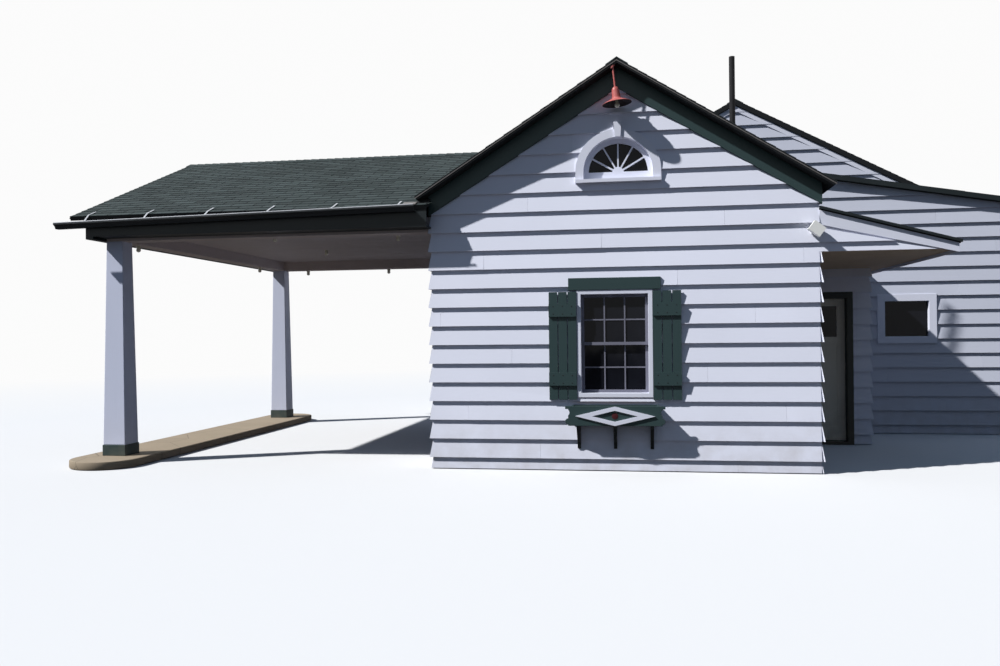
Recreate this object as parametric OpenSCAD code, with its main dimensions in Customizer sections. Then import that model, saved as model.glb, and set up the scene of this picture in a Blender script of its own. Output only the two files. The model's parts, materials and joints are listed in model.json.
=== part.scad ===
// Filling station cottage with a drive-through canopy on two posts.
// X runs along the front, Y to the back, Z up. The origin is the centre of the office, at the ground.

/* [Office] */
// Width of the office over its sheathing
office_w = 4470; // [3600:10:5400]
// Depth of the office to the face of the rear gable
office_d = 4700; // [4400:10:6000]
// Thickness of every built wall
wall_t = 140; // [100:5:180]
// Thickness of the floor above the ground
floor_t = 40; // [30:5:60]
// Height of the roof's underside at the side walls
office_eave_z = 3285; // [3200:5:3500]
// Pitch of the office roof in degrees
office_angle = 32.2; // [28:0.1:38]
// Thickness of the office roof
office_t = 45; // [35:5:90]
// Thickness of the rear roofs
roof_t = 75; // [50:5:100]
// Overhang of the roof past the front gable
rake_over = 230; // [150:5:500]
// Overhang of the office roof past its side walls
eave_over = 150; // [60:5:200]
// Width of the frieze board below the front rake
frieze_w = 200; // [150:1:260]
// Length of the frieze board past the wall's corners
frieze_end = 30; // [10:5:60]
// Thickness of outside trim boards
trim_t = 45; // [30:1:60]
// Gap left below and beside every sloping roof
seat = 0.3; // [0.2:0.1:1]

/* [Fan window] */
// Drop of the springing line below the gable's peak inside the soffit
fan_drop = 1207; // [1150:1:1260]
// Radius of the glass
fan_r = 345; // [250:1:400]
// Depth of the fan window behind the sheathing
fan_inset = 50; // [0:5:70]
// Width of the bent sash round the glass
fan_sash_w = 55; // [30:1:80]
// Width of the casing round the sash
fan_trim_w = 95; // [60:1:140]
// Depth of the sash's rail below the springing line
fan_rail = 85; // [50:1:110]
// Height of the glass's foot above the springing line
fan_lift = 10; // [5:1:40]
// Height of the sill
fan_sill_h = 40; // [25:1:60]
// Reach of the sill in front of the wall
fan_sill_out = 85; // [50:1:110]
// Width of the keystone at its foot
key_w = 64; // [50:1:110]
// Width of the keystone at its top
key_head = 96; // [60:1:140]
// Height of the keystone above the casing
key_rise = 76; // [40:1:110]
// Number of panes in the fan
fan_panes = 6; // [3:1:9]
// Width of the spokes
spoke_w = 16; // [10:1:30]
// Radius of the hub
hub_r = 68; // [50:1:110]

/* [Front window] */
// Offset of the window from the middle of the gable
window_x = -58; // [-300:1:300]
// Width of the window over its casing
window_w = 877; // [700:1:1100]
// Height of the window over its casing
window_h = 1252; // [1000:1:1400]
// Height of the casing's foot
window_z = 858; // [800:1:950]
// Width of the casing
casing_w = 30; // [25:1:90]
// Width of the sash stiles
sash_w = 35; // [30:1:70]
// Thickness of each sash
sash_t = 34; // [25:1:45]
// Height of the head board
head_h = 142; // [100:1:200]
// Overhang of the head board past the casing
head_over = 95; // [40:1:160]
// Thickness of the head board
head_t = 55; // [40:1:100]
// Width of a shutter
shutter_w = 322; // [240:1:420]
// Height of a shutter
shutter_h = 1260; // [1000:1:1400]
// Drop of the shutters' feet below the casing's
shutter_drop = 26; // [0:1:60]
// Thickness of a shutter board
shutter_t = 25; // [18:1:40]
// Gap between shutter boards
shutter_gap = 12; // [5:1:25]
// Height of a shutter batten
batten_h = 155; // [90:1:200]
// Drop of the top batten below the shutter's head
batten_drop = 135; // [60:1:180]
// Height of the bottom batten above the shutter's foot
batten_lift = 165; // [60:1:220]

/* [Flower box] */
// Length of the flower box
box_l = 1135; // [900:1:1300]
// Depth of the flower box from the wall
box_d = 230; // [150:1:300]
// Height of the flower box
box_h = 226; // [180:1:270]
// Thickness of its boards
box_board = 22; // [15:1:30]
// Height of its foot
box_z = 544; // [480:1:590]
// Width of the diamond ornament
diamond_w = 900; // [500:1:1000]
// Height of the diamond ornament
diamond_h = 220; // [120:1:240]
// Width of the diamond's frame, level
diamond_rim = 190; // [60:1:240]
// Drop of the brackets below the box
bracket_drop = 283; // [150:1:340]
// Thickness of a bracket
bracket_t = 38; // [20:1:60]
// Spacing of the brackets
bracket_gap = 420; // [300:1:440]

/* [Gable lamp and vent] */
// Radius of the lamp's rim
lamp_r = 168; // [120:1:175]
// Drop of the lamp's rim below the soffit's peak
lamp_drop = 462; // [420:1:520]
// Height of the shade
shade_h = 190; // [150:1:220]
// Distance of the lamp in front of the wall
lamp_out = 205; // [200:1:220]
// Lean of the hanging lamp in degrees
lamp_tilt = 6; // [0:0.5:7]
// Radius of the vent pipe
vent_r = 40; // [30:1:60]
// Distance of the vent pipe from the ridge
vent_x = 1560; // [1200:10:1800]
// Height of the vent pipe above the roof
vent_h = 1725; // [1000:5:2200]
// Width of the corner lamp's housing
flood_w = 150; // [100:1:200]
// Height of the corner lamp
flood_z = 2745; // [2600:5:2850]
// Tilt of the corner lamp's housing in degrees
flood_angle = 38; // [0:1:60]

/* [Canopy] */
// Distance of the posts' axis from the office wall
post_reach = 4178; // [3000:1:5200]
// Spacing of the two posts
post_gap = 5130; // [4000:10:5400]
// Distance of the near post's axis behind the front wall
post_in = 120; // [115:5:300]
// Width of a post at its foot
post_foot = 300; // [240:5:340]
// Width of a post at its head
post_head = 220; // [160:5:230]
// Height of the plinth's top
plinth_top = 240; // [180:5:300]
// Width of a plinth
plinth_w = 318; // [300:1:400]
// Height of the island
island_h = 100; // [80:5:150]
// Width of the island
island_w = 860; // [700:10:1200]
// Length of the island past each post's axis
island_over = 730; // [450:10:900]
// Drop of the beams' underside below the office's eaves
beam_drop = 440; // [400:5:500]
// Width of a box beam
beam_w = 220; // [200:5:240]
// Drop of the ceiling below the office's eaves
ceiling_drop = 275; // [250:5:320]
// Thickness of ceiling and soffit boards
board_t = 20; // [12:1:30]
// Step of the soffit above the beams' underside
soffit_step = 35; // [0:1:60]
// Pitch of the canopy roof in degrees
canopy_angle = 22.4; // [19:0.1:25]
// Drop of the canopy's eaves below the office's
canopy_drop = 155; // [130:5:180]
// Thickness of the canopy roof
canopy_t = 50; // [40:1:80]
// Distance of the fascia in front of the front wall
fascia_out = 270; // [240:5:320]
// Thickness of a fascia board
fascia_t = 25; // [20:1:40]
// Width of the boxed trim along the foot of the gable end
return_l = 100; // [50:5:150]
// Overhang of the shingles past the fascia
shingle_over = 30; // [20:1:60]
// Overhang of the roof past the gable end
verge_over = 297; // [200:1:350]
// Width of the gutter
gutter_w = 110; // [90:1:140]
// Depth of the gutter
gutter_d = 72; // [65:1:90]
// Thickness of the gutter's sheet
gutter_t = 3; // [2:0.5:5]
// Length of the gutter past the verge
gutter_over = 176; // [50:1:300]
// Distance of the gutter's inner end from the office wall
gutter_in = 125; // [100:5:200]
// Height of the gutter's rim at its inner end above the fascia's top
gutter_rise = 42; // [30:1:50]
// Fall of the gutter towards its open end in degrees
gutter_fall = 1; // [0:0.05:1.2]
// Drop of the gutter's back edge below its rim
gutter_back = 50; // [48:1:60]
// Radius of a bulb
bulb_r = 30; // [20:1:45]
// Height of a lampholder
holder_h = 35; // [20:1:60]

/* [Side porch] */
// Width of the porch roof
porch_w = 1490; // [1300:10:1800]
// Drop of the porch roof below the office's eaves
porch_drop = 275; // [250:5:300]
// Pitch of the porch roof in degrees
porch_angle = 15.6; // [13:0.1:16]
// Thickness of the porch roof
porch_t = 40; // [30:1:60]
// Depth from the porch roof's high side to its ceiling
porch_depth = 510; // [490:5:560]
// Depth of the porch in front of the door wall
porch_d = 2710; // [2000:10:3000]
// Width of the vestibule behind the door
vestibule_w = 1215; // [1150:5:1250]
// Depth of the sloping fascia
porch_fascia = 165; // [120:1:200]

/* [Door] */
// Width of the door leaf
door_w = 794; // [740:1:820]
// Height of the door leaf
door_h = 2035; // [1950:1:2100]
// Thickness of the door leaf
door_t = 44; // [35:1:50]
// Distance of the doorway from the office wall
door_in = 115; // [110:1:150]
// Gap round the leaf
door_gap = 3; // [3:1:8]
// Gap below the leaf
sill_gap = 8; // [6:1:14]
// Thickness of the jambs
jamb_t = 30; // [20:1:40]
// Width of the door casing
door_casing = 72; // [60:1:80]
// Width of the door's stiles
stile_w = 117; // [90:1:140]
// Drop of the glass below the leaf's head
light_drop = 115; // [90:1:200]
// Height of the glass
light_h = 440; // [300:5:460]
// Radius of a hinge knuckle
knuckle_r = 7; // [6:0.5:9]
// Radius of a hinge pin
pin_r = 3; // [2.5:0.1:4]
// Length of a hinge
hinge_h = 90; // [70:1:110]
// Distance of the outer hinges from the leaf's ends
hinge_in = 180; // [120:1:260]
// Height of the knobs above the leaf's foot
knob_h = 950; // [850:5:1050]
// Distance of the knobs from the leaf's edge
knob_in = 60; // [50:1:75]

/* [Wing and rear rooms] */
// Distance of the wing's front behind the office's front
wing_in = 4150; // [4000:10:4300]
// Width of wing and rear rooms to the right of the office
wing_w = 3685; // [3000:5:4200]
// Depth of the rear rooms
rear_d = 4500; // [3500:10:6000]
// Distance of the rear ridge from the middle of the office
rear_ridge_x = 1860; // [1500:10:2000]
// Drop of the rear rooms' left wall below the office's
rear_drop = 76; // [60:1:120]
// Pitch of the rear roof in degrees
rear_angle = 28.2; // [27.5:0.05:30]
// Overhang of the rear roof past its gable
rear_rake = 60; // [40:5:200]
// Height of the wing roof above the office's eaves
wing_rise = 973; // [930:1:1040]
// Pitch of the wing roof in degrees
wing_angle = 9.9; // [9:0.1:12.5]
// Overhang of the wing roof
wing_over = 120; // [60:5:200]
// Depth of the rear gable below the left wall's top
header_drop = 459; // [380:1:520]
// Distance of the wing window from the vestibule
small_in = 570; // [300:5:900]
// Width of a small window's opening
small_w = 690; // [500:5:900]
// Height of a small window's opening
small_h = 590; // [400:5:800]
// Height of a small window's foot
small_z = 1500; // [1300:5:1700]
// Width of a small window's casing
small_casing = 90; // [60:1:140]
// Thickness of all glass
glass_t = 6; // [4:1:10]

/* [Hidden] */
front = -office_d / 2;
back = office_d / 2;
left = -office_w / 2;
right = office_w / 2;
wing_front = front + wing_in;
wing_right = right + wing_w;
rear_back = back + rear_d;
round_fn = 64;
small_fn = 24;

// Roof planes: a slope falls from its ridge at tan(pitch)
function fall(pitch, run) = run * tan(pitch);
function plumb(t, pitch) = t / cos(pitch);
office_ridge = office_eave_z + fall(office_angle, right) + plumb(office_t, office_angle);
fan_z = office_ridge - plumb(office_t, office_angle) - fan_drop;
lamp_z = office_ridge - plumb(office_t, office_angle) - lamp_drop;
beam_z = office_eave_z - beam_drop;
ceiling_z = office_eave_z - ceiling_drop;
canopy_eave_z = office_eave_z - canopy_drop;
porch_z = office_eave_z - porch_drop;
porch_ceiling_z = porch_z - porch_depth;
wing_z = office_eave_z + wing_rise;
rear_ridge_z = office_eave_z - rear_drop + plumb(roof_t, rear_angle)
    + fall(rear_angle, rear_ridge_x - left);
header_z = office_eave_z - rear_drop - header_drop;
function office_top(x) = office_ridge - fall(office_angle, abs(x));
function office_under(x) = office_top(x) - plumb(office_t, office_angle);
function rear_top(x) = rear_ridge_z - fall(rear_angle, abs(x - rear_ridge_x));
function rear_under(x) = rear_top(x) - plumb(roof_t, rear_angle);
function wing_top(x) = wing_z - fall(wing_angle, x - right);
function wing_under(x) = wing_top(x) - plumb(roof_t, wing_angle);
function porch_under(x) = porch_z - fall(porch_angle, x - right) - plumb(porch_t, porch_angle);
function office_seat(x) = office_under(x) - seat;
function rear_seat(x) = rear_under(x) - seat;
function wing_seat(x) = wing_under(x) - seat;
function porch_seat(x) = porch_under(x) - seat;
// Where the rear roof's right slope meets the wing roof
break_x = (rear_ridge_z + rear_ridge_x * tan(rear_angle) - wing_z - right * tan(wing_angle))
    / (tan(rear_angle) - tan(wing_angle));
eave_l = left - eave_over;
eave_r = right + eave_over;

post_x = left - post_reach;
post_y = [front + post_in, front + post_in + post_gap];
ridge_y = (post_y[0] + post_y[1]) / 2;
fascia_y = front - fascia_out;
canopy_half = ridge_y - fascia_y + shingle_over;
canopy_ridge = canopy_eave_z + fall(canopy_angle, canopy_half);
function canopy_under(y) = canopy_ridge - fall(canopy_angle, abs(y - ridge_y))
    - plumb(canopy_t, canopy_angle);
function canopy_seat(y) = canopy_under(y) - seat;
gable_x = post_x - beam_w / 2;
verge_x = gable_x - verge_over;
beam_top = ceiling_z + board_t;
beam_face = post_y[0] - beam_w / 2;
soffit_z = beam_z + soffit_step;
soffit_top = soffit_z + board_t;

door_l = right + door_in;
door_r = door_l + door_w + 2 * door_gap;
door_wall = front + porch_d;
door_foot = floor_t + sill_gap;
door_top = door_foot + door_h;
vestibule_r = right + vestibule_w;
porch_r = right + porch_w;
hinge_x = door_r;
hinge_y = door_wall + wall_t + knuckle_r;
knuckle_gap = 0.5;
pin_clear = 0.06;

white = "#dcdce6";
green = "#375048";
dark = "#1c2826";
shingle = "#46554b";
concrete = "#c8b49b";

// An outline in X and Z carried from y0 to y1
module along_y(y0, y1) {
    translate([0, y1, 0]) rotate([90, 0, 0]) linear_extrude(height = y1 - y0) children();
}

// An outline in Y and Z carried from x0 to x1
module along_x(x0, x1) {
    translate([x0, 0, 0]) rotate([90, 0, 90]) linear_extrude(height = x1 - x0) children();
}

// A box from its lowest to its highest corner
module span(a, b) {
    translate(a) cube(b - a);
}

// Section of a roof slope: plumb at the ridge, square at the eave
module slope(ridge, height, eave, pitch, t) {
    d = sign(eave - ridge);
    low = height - fall(pitch, abs(eave - ridge));
    polygon([[ridge, height], [eave, low], [eave - d * t * sin(pitch), low - t * cos(pitch)],
        [ridge, height - plumb(t, pitch)]]);
}

// Everything below the top of the office and rear roofs
module house_form() {
    reach = rake_over + fascia_out;
    along_y(front - reach, back) polygon([[left, 0], [left, office_seat(left)],
        [eave_l - seat, office_seat(eave_l)], [eave_l - seat, office_top(eave_l) + seat],
        [0, office_ridge + seat], [right, 0]]);
    along_y(back, rear_back) polygon([[left, 0], [left, rear_seat(left)],
        [eave_l - seat, rear_seat(eave_l)], [eave_l - seat, rear_top(eave_l) + seat],
        [0, rear_top(0) + seat], [right, 0]]);
}

// Opening for a sash window, through a wall that faces -Y at y = 0
module window_hole() {
    inner = window_w / 2 - casing_w;
    span([-inner, -wall_t, window_z + casing_w],
        [inner, 2 * wall_t, window_z + window_h - casing_w]);
}

// Casing of a sash window, centred at x = 0 on a wall face at y = 0
module window_casing() {
    inner = window_w / 2 - casing_w;
    difference() {
        union() {
            span([-window_w / 2, -trim_t, window_z], [window_w / 2, 0, window_z + window_h]);
            span([-inner, 0, window_z + casing_w], [inner, wall_t, window_z + window_h - casing_w]);
        }
        span([-inner + board_t, -wall_t, window_z + casing_w + board_t],
            [inner - board_t, 2 * wall_t, window_z + window_h - casing_w - board_t]);
    }
}

sash_open = window_w / 2 - casing_w - board_t;
sash_low = window_z + casing_w + board_t;
sash_high = window_z + window_h - casing_w - board_t;
sash_mid = (sash_low + sash_high) / 2;
sash_gap = 4;
upper_y = 20;
lower_y = upper_y + sash_t + sash_gap;

module sash(y, z0, z1) {
    difference() {
        span([-sash_open, y, z0], [sash_open, y + sash_t, z1]);
        span([-sash_open + sash_w, y - 1, z0 + sash_w], [sash_open - sash_w, y + sash_t + 1, z1 - sash_w]);
    }
}

module window_pair() {
    sash(upper_y, sash_mid - sash_w / 2, sash_high);
    sash(lower_y, sash_low, sash_mid + sash_w / 2);
}

module window_panes() {
    middle = (sash_t - glass_t) / 2;
    for (p = [[upper_y, sash_mid + sash_w / 2, sash_high - sash_w],
              [lower_y, sash_low + sash_w, sash_mid - sash_w / 2]])
        span([-sash_open + sash_w, p[0] + middle, p[1]],
            [sash_open - sash_w, p[0] + middle + glass_t, p[2]]);
}

// Places of the sash windows: the front one, then one in each room's left wall
left_window_y = [(front + back) / 2, (back + rear_back) / 2];
module at_front_window() { translate([window_x, front, 0]) children(); }
module at_left_window(y) { translate([left, y, 0]) rotate([0, 0, -90]) children(); }

// Small fixed windows, on a wall face at y = 0
module small_hole() {
    span([-small_w / 2, -wall_t, small_z], [small_w / 2, 2 * wall_t, small_z + small_h]);
}

module small_casing() {
    difference() {
        union() {
            span([-small_w / 2 - small_casing, -trim_t, small_z - small_casing],
                [small_w / 2 + small_casing, 0, small_z + small_h + small_casing]);
            span([-small_w / 2, 0, small_z], [small_w / 2, wall_t, small_z + small_h]);
        }
        span([-small_w / 2 + board_t, -wall_t, small_z + board_t],
            [small_w / 2 - board_t, 2 * wall_t, small_z + small_h - board_t]);
    }
}

module small_pane() {
    span([-small_w / 2 + board_t, sash_t, small_z + board_t],
        [small_w / 2 - board_t, sash_t + glass_t, small_z + small_h - board_t]);
}

wing_window_x = vestibule_r + small_in + small_w / 2;
rear_length = rear_back - wing_front;
side_window_y = [wing_front + rear_length / 4, wing_front + 3 * rear_length / 4];
back_window_x = [left + (wing_right - left) / 4, left + 3 * (wing_right - left) / 4];
module at_wing_window() { translate([wing_window_x, wing_front, 0]) children(); }
module at_side_window(y) { translate([wing_right, y, 0]) rotate([0, 0, 90]) children(); }
module at_back_window(x) { translate([x, rear_back, 0]) rotate([0, 0, 180]) children(); }
module at_small_windows() {
    at_wing_window() children();
    for (y = side_window_y) at_side_window(y) children();
    for (x = back_window_x) at_back_window(x) children();
}

module half_disc(r) {
    intersection() {
        circle(r = r, $fn = round_fn);
        translate([-r, 0]) square([2 * r, r]);
    }
}

// Opening of the fan window, with the sash's rail below the springing line
module fan_opening() {
    half_disc(fan_r + fan_sash_w);
    translate([-fan_r - fan_sash_w, -fan_rail]) square([2 * (fan_r + fan_sash_w), fan_rail + 1]);
}

// Office

module office_floor() {
    color(concrete) span([left + wall_t, front + wall_t, 0], [right - wall_t, back, floor_t]);
}

module front_wall() {
    color(white) difference() {
        along_y(front, front + wall_t) polygon([[left, 0], [right, 0], [right, office_seat(right)],
            [0, office_seat(0)], [left, office_seat(left)]]);
        at_front_window() window_hole();
        along_y(front - 1, front + wall_t + 1) translate([0, fan_z]) fan_opening();
    }
}

module side_wall(outer, inner, y0, y1, z_outer, z_inner) {
    along_y(y0, y1) polygon([[outer, 0], [inner, 0], [inner, z_inner], [outer, z_outer]]);
}

module left_wall() {
    inner = left + wall_t;
    color(white) difference() {
        side_wall(left, inner, front + wall_t, back, office_seat(left), office_seat(inner));
        at_left_window(left_window_y[0]) window_hole();
    }
}

inner_door_h = 2050;
inner_door_w = 800;
inner_door_y = (door_wall + wing_front + wall_t) / 2;

module right_wall() {
    inner = right - wall_t;
    color(white) difference() {
        side_wall(right, inner, front + wall_t, back, office_seat(right), office_seat(inner));
        span([inner - 1, inner_door_y - inner_door_w / 2, floor_t],
            [right + 1, inner_door_y + inner_door_w / 2, floor_t + inner_door_h]);
    }
}

module roof_left() {
    color(shingle) along_y(front - rake_over, back)
        slope(0, office_ridge, eave_l, office_angle, office_t);
}

module roof_right() {
    color(shingle) difference() {
        along_y(front - rake_over, back) slope(0, office_ridge, eave_r, office_angle, office_t);
        span([right, wing_front, office_eave_z - 4 * roof_t], [eave_r + 1, back + 1, office_ridge]);
    }
}

module frieze_boards() {
    drop = plumb(frieze_w, office_angle);
    ends = [left - frieze_end, 0, right + frieze_end];
    color(green) along_y(front - trim_t, front) polygon([for (x = ends) [x, office_seat(x)],
        for (i = [2 : -1 : 0]) [ends[i], office_seat(ends[i]) - drop]]);
}

module fan_casing() {
    outer = fan_r + fan_sash_w + fan_trim_w;
    key_foot = fan_z + fan_r + fan_sash_w;
    key_top = fan_z + outer + key_rise;
    key = [[-key_w / 2, key_foot], [key_w / 2, key_foot], [key_head / 2, key_top],
        [-key_head / 2, key_top]];
    color(white) {
        along_y(front - trim_t, front) difference() {
            union() {
                translate([0, fan_z]) half_disc(outer);
                translate([-outer, fan_z - fan_rail - fan_sill_h])
                    square([2 * outer, fan_rail + fan_sill_h + 1]);
                polygon(key);
            }
            translate([0, fan_z]) fan_opening();
        }
        along_y(front - trim_t - board_t, front - trim_t) polygon(key);
        span([-outer, front - fan_sill_out, fan_z - fan_rail - fan_sill_h],
            [outer, front, fan_z - fan_rail]);
    }
}

module fan_sash() {
    color(white) along_y(front + fan_inset, front + fan_inset + sash_t) translate([0, fan_z]) {
        difference() {
            fan_opening();
            intersection() {
                half_disc(fan_r);
                translate([-fan_r, fan_lift]) square([2 * fan_r, fan_r]);
            }
        }
        half_disc(hub_r);
        for (i = [1 : fan_panes - 1]) rotate([0, 0, i * 180 / fan_panes])
            translate([hub_r - 2, -spoke_w / 2]) square([fan_r - hub_r + 4, spoke_w]);
    }
}

module window_casings() {
    color(white) {
        at_front_window() window_casing();
        for (y = left_window_y) at_left_window(y) window_casing();
    }
}

module window_sashes() {
    color(white) {
        at_front_window() window_pair();
        for (y = left_window_y) at_left_window(y) window_pair();
    }
}

module window_glass() {
    color("#12161c") {
        at_front_window() window_panes();
        for (y = left_window_y) at_left_window(y) window_panes();
        at_small_windows() small_pane();
        along_y(front + fan_inset + sash_t, front + fan_inset + sash_t + glass_t)
            translate([0, fan_z]) half_disc(fan_r + spoke_w);
    }
}

module window_head() {
    over = window_w / 2 + head_over;
    color(green) translate([window_x, front, window_z + window_h])
        span([-over, -head_t, 0], [over, 0, head_h]);
}

shutter_z = window_z - shutter_drop;
spacer_t = 30;
shutter_slack = 2;

module shutter() {
    board_w = (shutter_w - 2 * shutter_gap) / 3;
    for (i = [0 : 2])
        translate([i * (board_w + shutter_gap), -spacer_t - shutter_t, 0])
            cube([board_w, shutter_t, shutter_h]);
    for (z = [batten_lift, shutter_h - batten_drop - batten_h]) {
        translate([0, -spacer_t - 2 * shutter_t, z]) cube([shutter_w, shutter_t, batten_h]);
        for (i = [0, 2])
            translate([i * (board_w + shutter_gap) + board_w / 4, -spacer_t, z + batten_h / 3])
                cube([board_w / 2, spacer_t, batten_h / 3]);
    }
}

module shutters() {
    side = window_w / 2 + shutter_slack;
    color(green) at_front_window() translate([0, 0, shutter_z]) {
        translate([side, 0, 0]) shutter();
        translate([-side - shutter_w, 0, 0]) shutter();
    }
}

// End profile of the flower box front: a bead over a shallow hollow
module ogee_front() {
    bead = box_h * 0.3;
    difference() {
        union() {
            translate([-box_l / 2 + bead / 2, 0]) square([box_l - bead, box_h]);
            for (s = [-1, 1]) {
                translate([s * (box_l / 2 - bead / 2), bead * 0.75]) circle(r = bead / 2, $fn = small_fn);
                translate([s * (box_l / 2 - bead / 2) - bead / 2, box_h - bead / 2]) square([bead, bead / 2]);
            }
        }
        for (s = [-1, 1])
            translate([s * (box_l / 2 - bead / 8), box_h - bead * 1.1])
                circle(r = bead * 0.6, $fn = small_fn);
    }
}

module flower_box() {
    inner = box_l - box_h * 0.6;
    color(green) translate([window_x, front, box_z]) {
        along_y(-box_d, -box_d + box_board) ogee_front();
        difference() {
            span([-inner / 2, -box_d + box_board, 0], [inner / 2, 0, box_h]);
            span([-inner / 2 + box_board, -box_d, box_board],
                [inner / 2 - box_board, -box_board, box_h + 1]);
        }
    }
}

module box_brackets() {
    depth = box_d - box_board;
    color(dark) translate([window_x, front, box_z]) for (i = [-1 : 1])
        along_x(i * bracket_gap - bracket_t / 2, i * bracket_gap + bracket_t / 2) polygon([[0, 0],
            [-depth, 0], [-depth, -bracket_t], [-bracket_t * 1.6, -bracket_drop * 0.75],
            [-bracket_t, -bracket_drop], [0, -bracket_drop]]);
}

module lozenge(w, h) {
    polygon([[-w / 2, 0], [0, -h / 2], [w / 2, 0], [0, h / 2]]);
}

module box_ornament() {
    inner_w = diamond_w - 2 * diamond_rim;
    along = inner_w / diamond_w;
    color(white) translate([window_x, front - box_d, box_z + box_h / 2])
        along_y(-board_t, 0) difference() {
            lozenge(diamond_w, diamond_h);
            lozenge(inner_w, diamond_h * along);
        }
}

lamp_shell = 4;
stem_r = 11;
lamp_y = front - lamp_out;

// Outer profile of the bell-shaped shade: share of the rim's radius, share of its height
shade_profile = [[1, 0], [0.95, 0.03], [0.7, 0.13], [0.45, 0.235], [0.34, 0.28], [0.3, 0.33],
    [0.29, 0.4], [0.275, 0.6], [0.255, 0.8], [0.215, 0.92], [0.13, 0.985]];

module lamp_shade() {
    steps = len(shade_profile) - 1;
    outside = [for (p = shade_profile) [p[0] * lamp_r, p[1] * shade_h]];
    top = shade_h - 2 * lamp_shell;
    inside = [for (i = [steps : -1 : 1])
        [outside[i][0] - lamp_shell * i / steps, min(outside[i][1] - lamp_shell, top)]];
    rotate_extrude($fn = round_fn) polygon(concat(outside, [[0, shade_h], [0, top]], inside,
        [[lamp_r, -lamp_shell]]));
}

module gable_lamp() {
    rose_r = rake_over - lamp_out;
    stem_top = office_seat(0);
    foot = -(stem_top - lamp_z) * tan(lamp_tilt);
    reach = (office_seat(foot) - lamp_z) / cos(lamp_tilt) - 1.2 * stem_r;
    color("#be5549") translate([0, lamp_y, 0]) {
        translate([0, 0, lamp_z]) rotate([0, -lamp_tilt, 0]) {
            lamp_shade();
            translate([0, 0, shade_h - lamp_shell])
                cylinder(h = reach - shade_h + lamp_shell, r = stem_r, $fn = small_fn);
        }
        intersection() {
            translate([foot, 0, stem_top - 80]) cylinder(h = 80, r = rose_r, $fn = small_fn);
            along_y(-rose_r, rose_r) polygon([[-right, office_seat(right) - 2 * stem_r],
                [0, stem_top - 2 * stem_r], [right, office_seat(right) - 2 * stem_r],
                [right, office_seat(right)], [0, stem_top], [-right, office_seat(right)]]);
        }
    }
}

module vent_pipe() {
    flashing = 2.4 * vent_r;
    color(dark) difference() {
        union() {
            translate([vent_x, 0, office_under(vent_x)])
                cylinder(h = office_top(vent_x) + vent_h - office_under(vent_x), r = vent_r, $fn = round_fn);
            along_y(-flashing, flashing) polygon([[vent_x - flashing, office_top(vent_x - flashing)],
                [vent_x + flashing, office_top(vent_x + flashing)],
                [vent_x + flashing, office_top(vent_x + flashing) + lamp_shell],
                [vent_x - flashing, office_top(vent_x - flashing) + lamp_shell]]);
        }
        along_y(-office_d, office_d) polygon([[0, 0], [0, office_ridge + seat],
            [eave_r, office_top(eave_r) + seat], [eave_r, 0]]);
    }
}

module corner_lamp() {
    plate = 90;
    block = plate / 2;
    arm = block + 15;
    depth = flood_w * 0.3;
    color("#eeeeea") translate([right - plate / 2, front, flood_z]) {
        span([-plate / 2, -block, -plate / 2], [plate / 2, 0, plate / 2]);
        span([-14, -arm, -14], [14, -block, 14]);
        translate([0, -arm - depth, 0]) rotate([0, flood_angle, 0])
            span([-flood_w / 2, -depth, -flood_w * 0.4], [flood_w / 2, depth, flood_w * 0.4]);
    }
}

// Canopy

module pump_island() {
    r = island_w / 2;
    ends = [post_y[0] - island_over + r, post_y[1] + island_over - r];
    color(concrete) linear_extrude(height = island_h) union() {
        for (y = ends) translate([post_x, y]) circle(r = r, $fn = round_fn);
        translate([post_x - r, ends[0]]) square([island_w, ends[1] - ends[0]]);
    }
}

module post_plinths() {
    color("#2f5d55") for (y = post_y)
        translate([post_x - plinth_w / 2, y - plinth_w / 2, island_h])
            cube([plinth_w, plinth_w, plinth_top - island_h]);
}

// A square post that narrows evenly towards its head
module tapered_post(x, y) {
    side = [[-post_foot / 2, plinth_top], [post_foot / 2, plinth_top], [post_head / 2, beam_z],
        [-post_head / 2, beam_z]];
    intersection() {
        along_y(y - post_foot, y + post_foot) translate([x, 0]) polygon(side);
        along_x(x - post_foot, x + post_foot) translate([y, 0]) polygon(side);
    }
}

module canopy_posts() {
    color(white) for (y = post_y) tapered_post(post_x, y);
}

module long_beam(y) {
    color(white) difference() {
        span([gable_x, y - beam_w / 2, beam_z], [left, y + beam_w / 2, beam_top]);
        house_form();
    }
}

module beam_front() { long_beam(post_y[0]); }
module beam_back() { long_beam(post_y[1]); }

module beam_outer() {
    color(white) span([gable_x, post_y[0] + beam_w / 2, beam_z],
        [gable_x + beam_w, post_y[1] - beam_w / 2, beam_top]);
}

module canopy_ceiling() {
    color("#e4ddd0") difference() {
        span([gable_x + beam_w, post_y[0] + beam_w / 2, ceiling_z],
            [left, post_y[1] - beam_w / 2, beam_top]);
        house_form();
    }
}

module canopy_slope(eave) {
    color(shingle) difference() {
        along_x(verge_x, 0) slope(ridge_y, canopy_ridge, eave, canopy_angle, canopy_t);
        house_form();
        span([left - frieze_end - seat, front - trim_t - seat, 0], [left + 1, front + 1, office_ridge]);
    }
}

module canopy_roof_front() { canopy_slope(ridge_y - canopy_half); }
module canopy_roof_back() { canopy_slope(ridge_y + canopy_half); }

module canopy_gable() {
    reach = ridge_y - fascia_y - fascia_t;
    inner = ridge_y - beam_face;
    color(white) along_x(gable_x, gable_x + wall_t * 0.7) translate([ridge_y, 0])
        polygon([[-reach, soffit_top], [-inner, soffit_top], [-inner, beam_top], [inner, beam_top],
            [inner, soffit_top], [reach, soffit_top], [reach, canopy_seat(fascia_y + fascia_t)],
            [0, canopy_seat(ridge_y)], [-reach, canopy_seat(fascia_y + fascia_t)]]);
}

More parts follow.
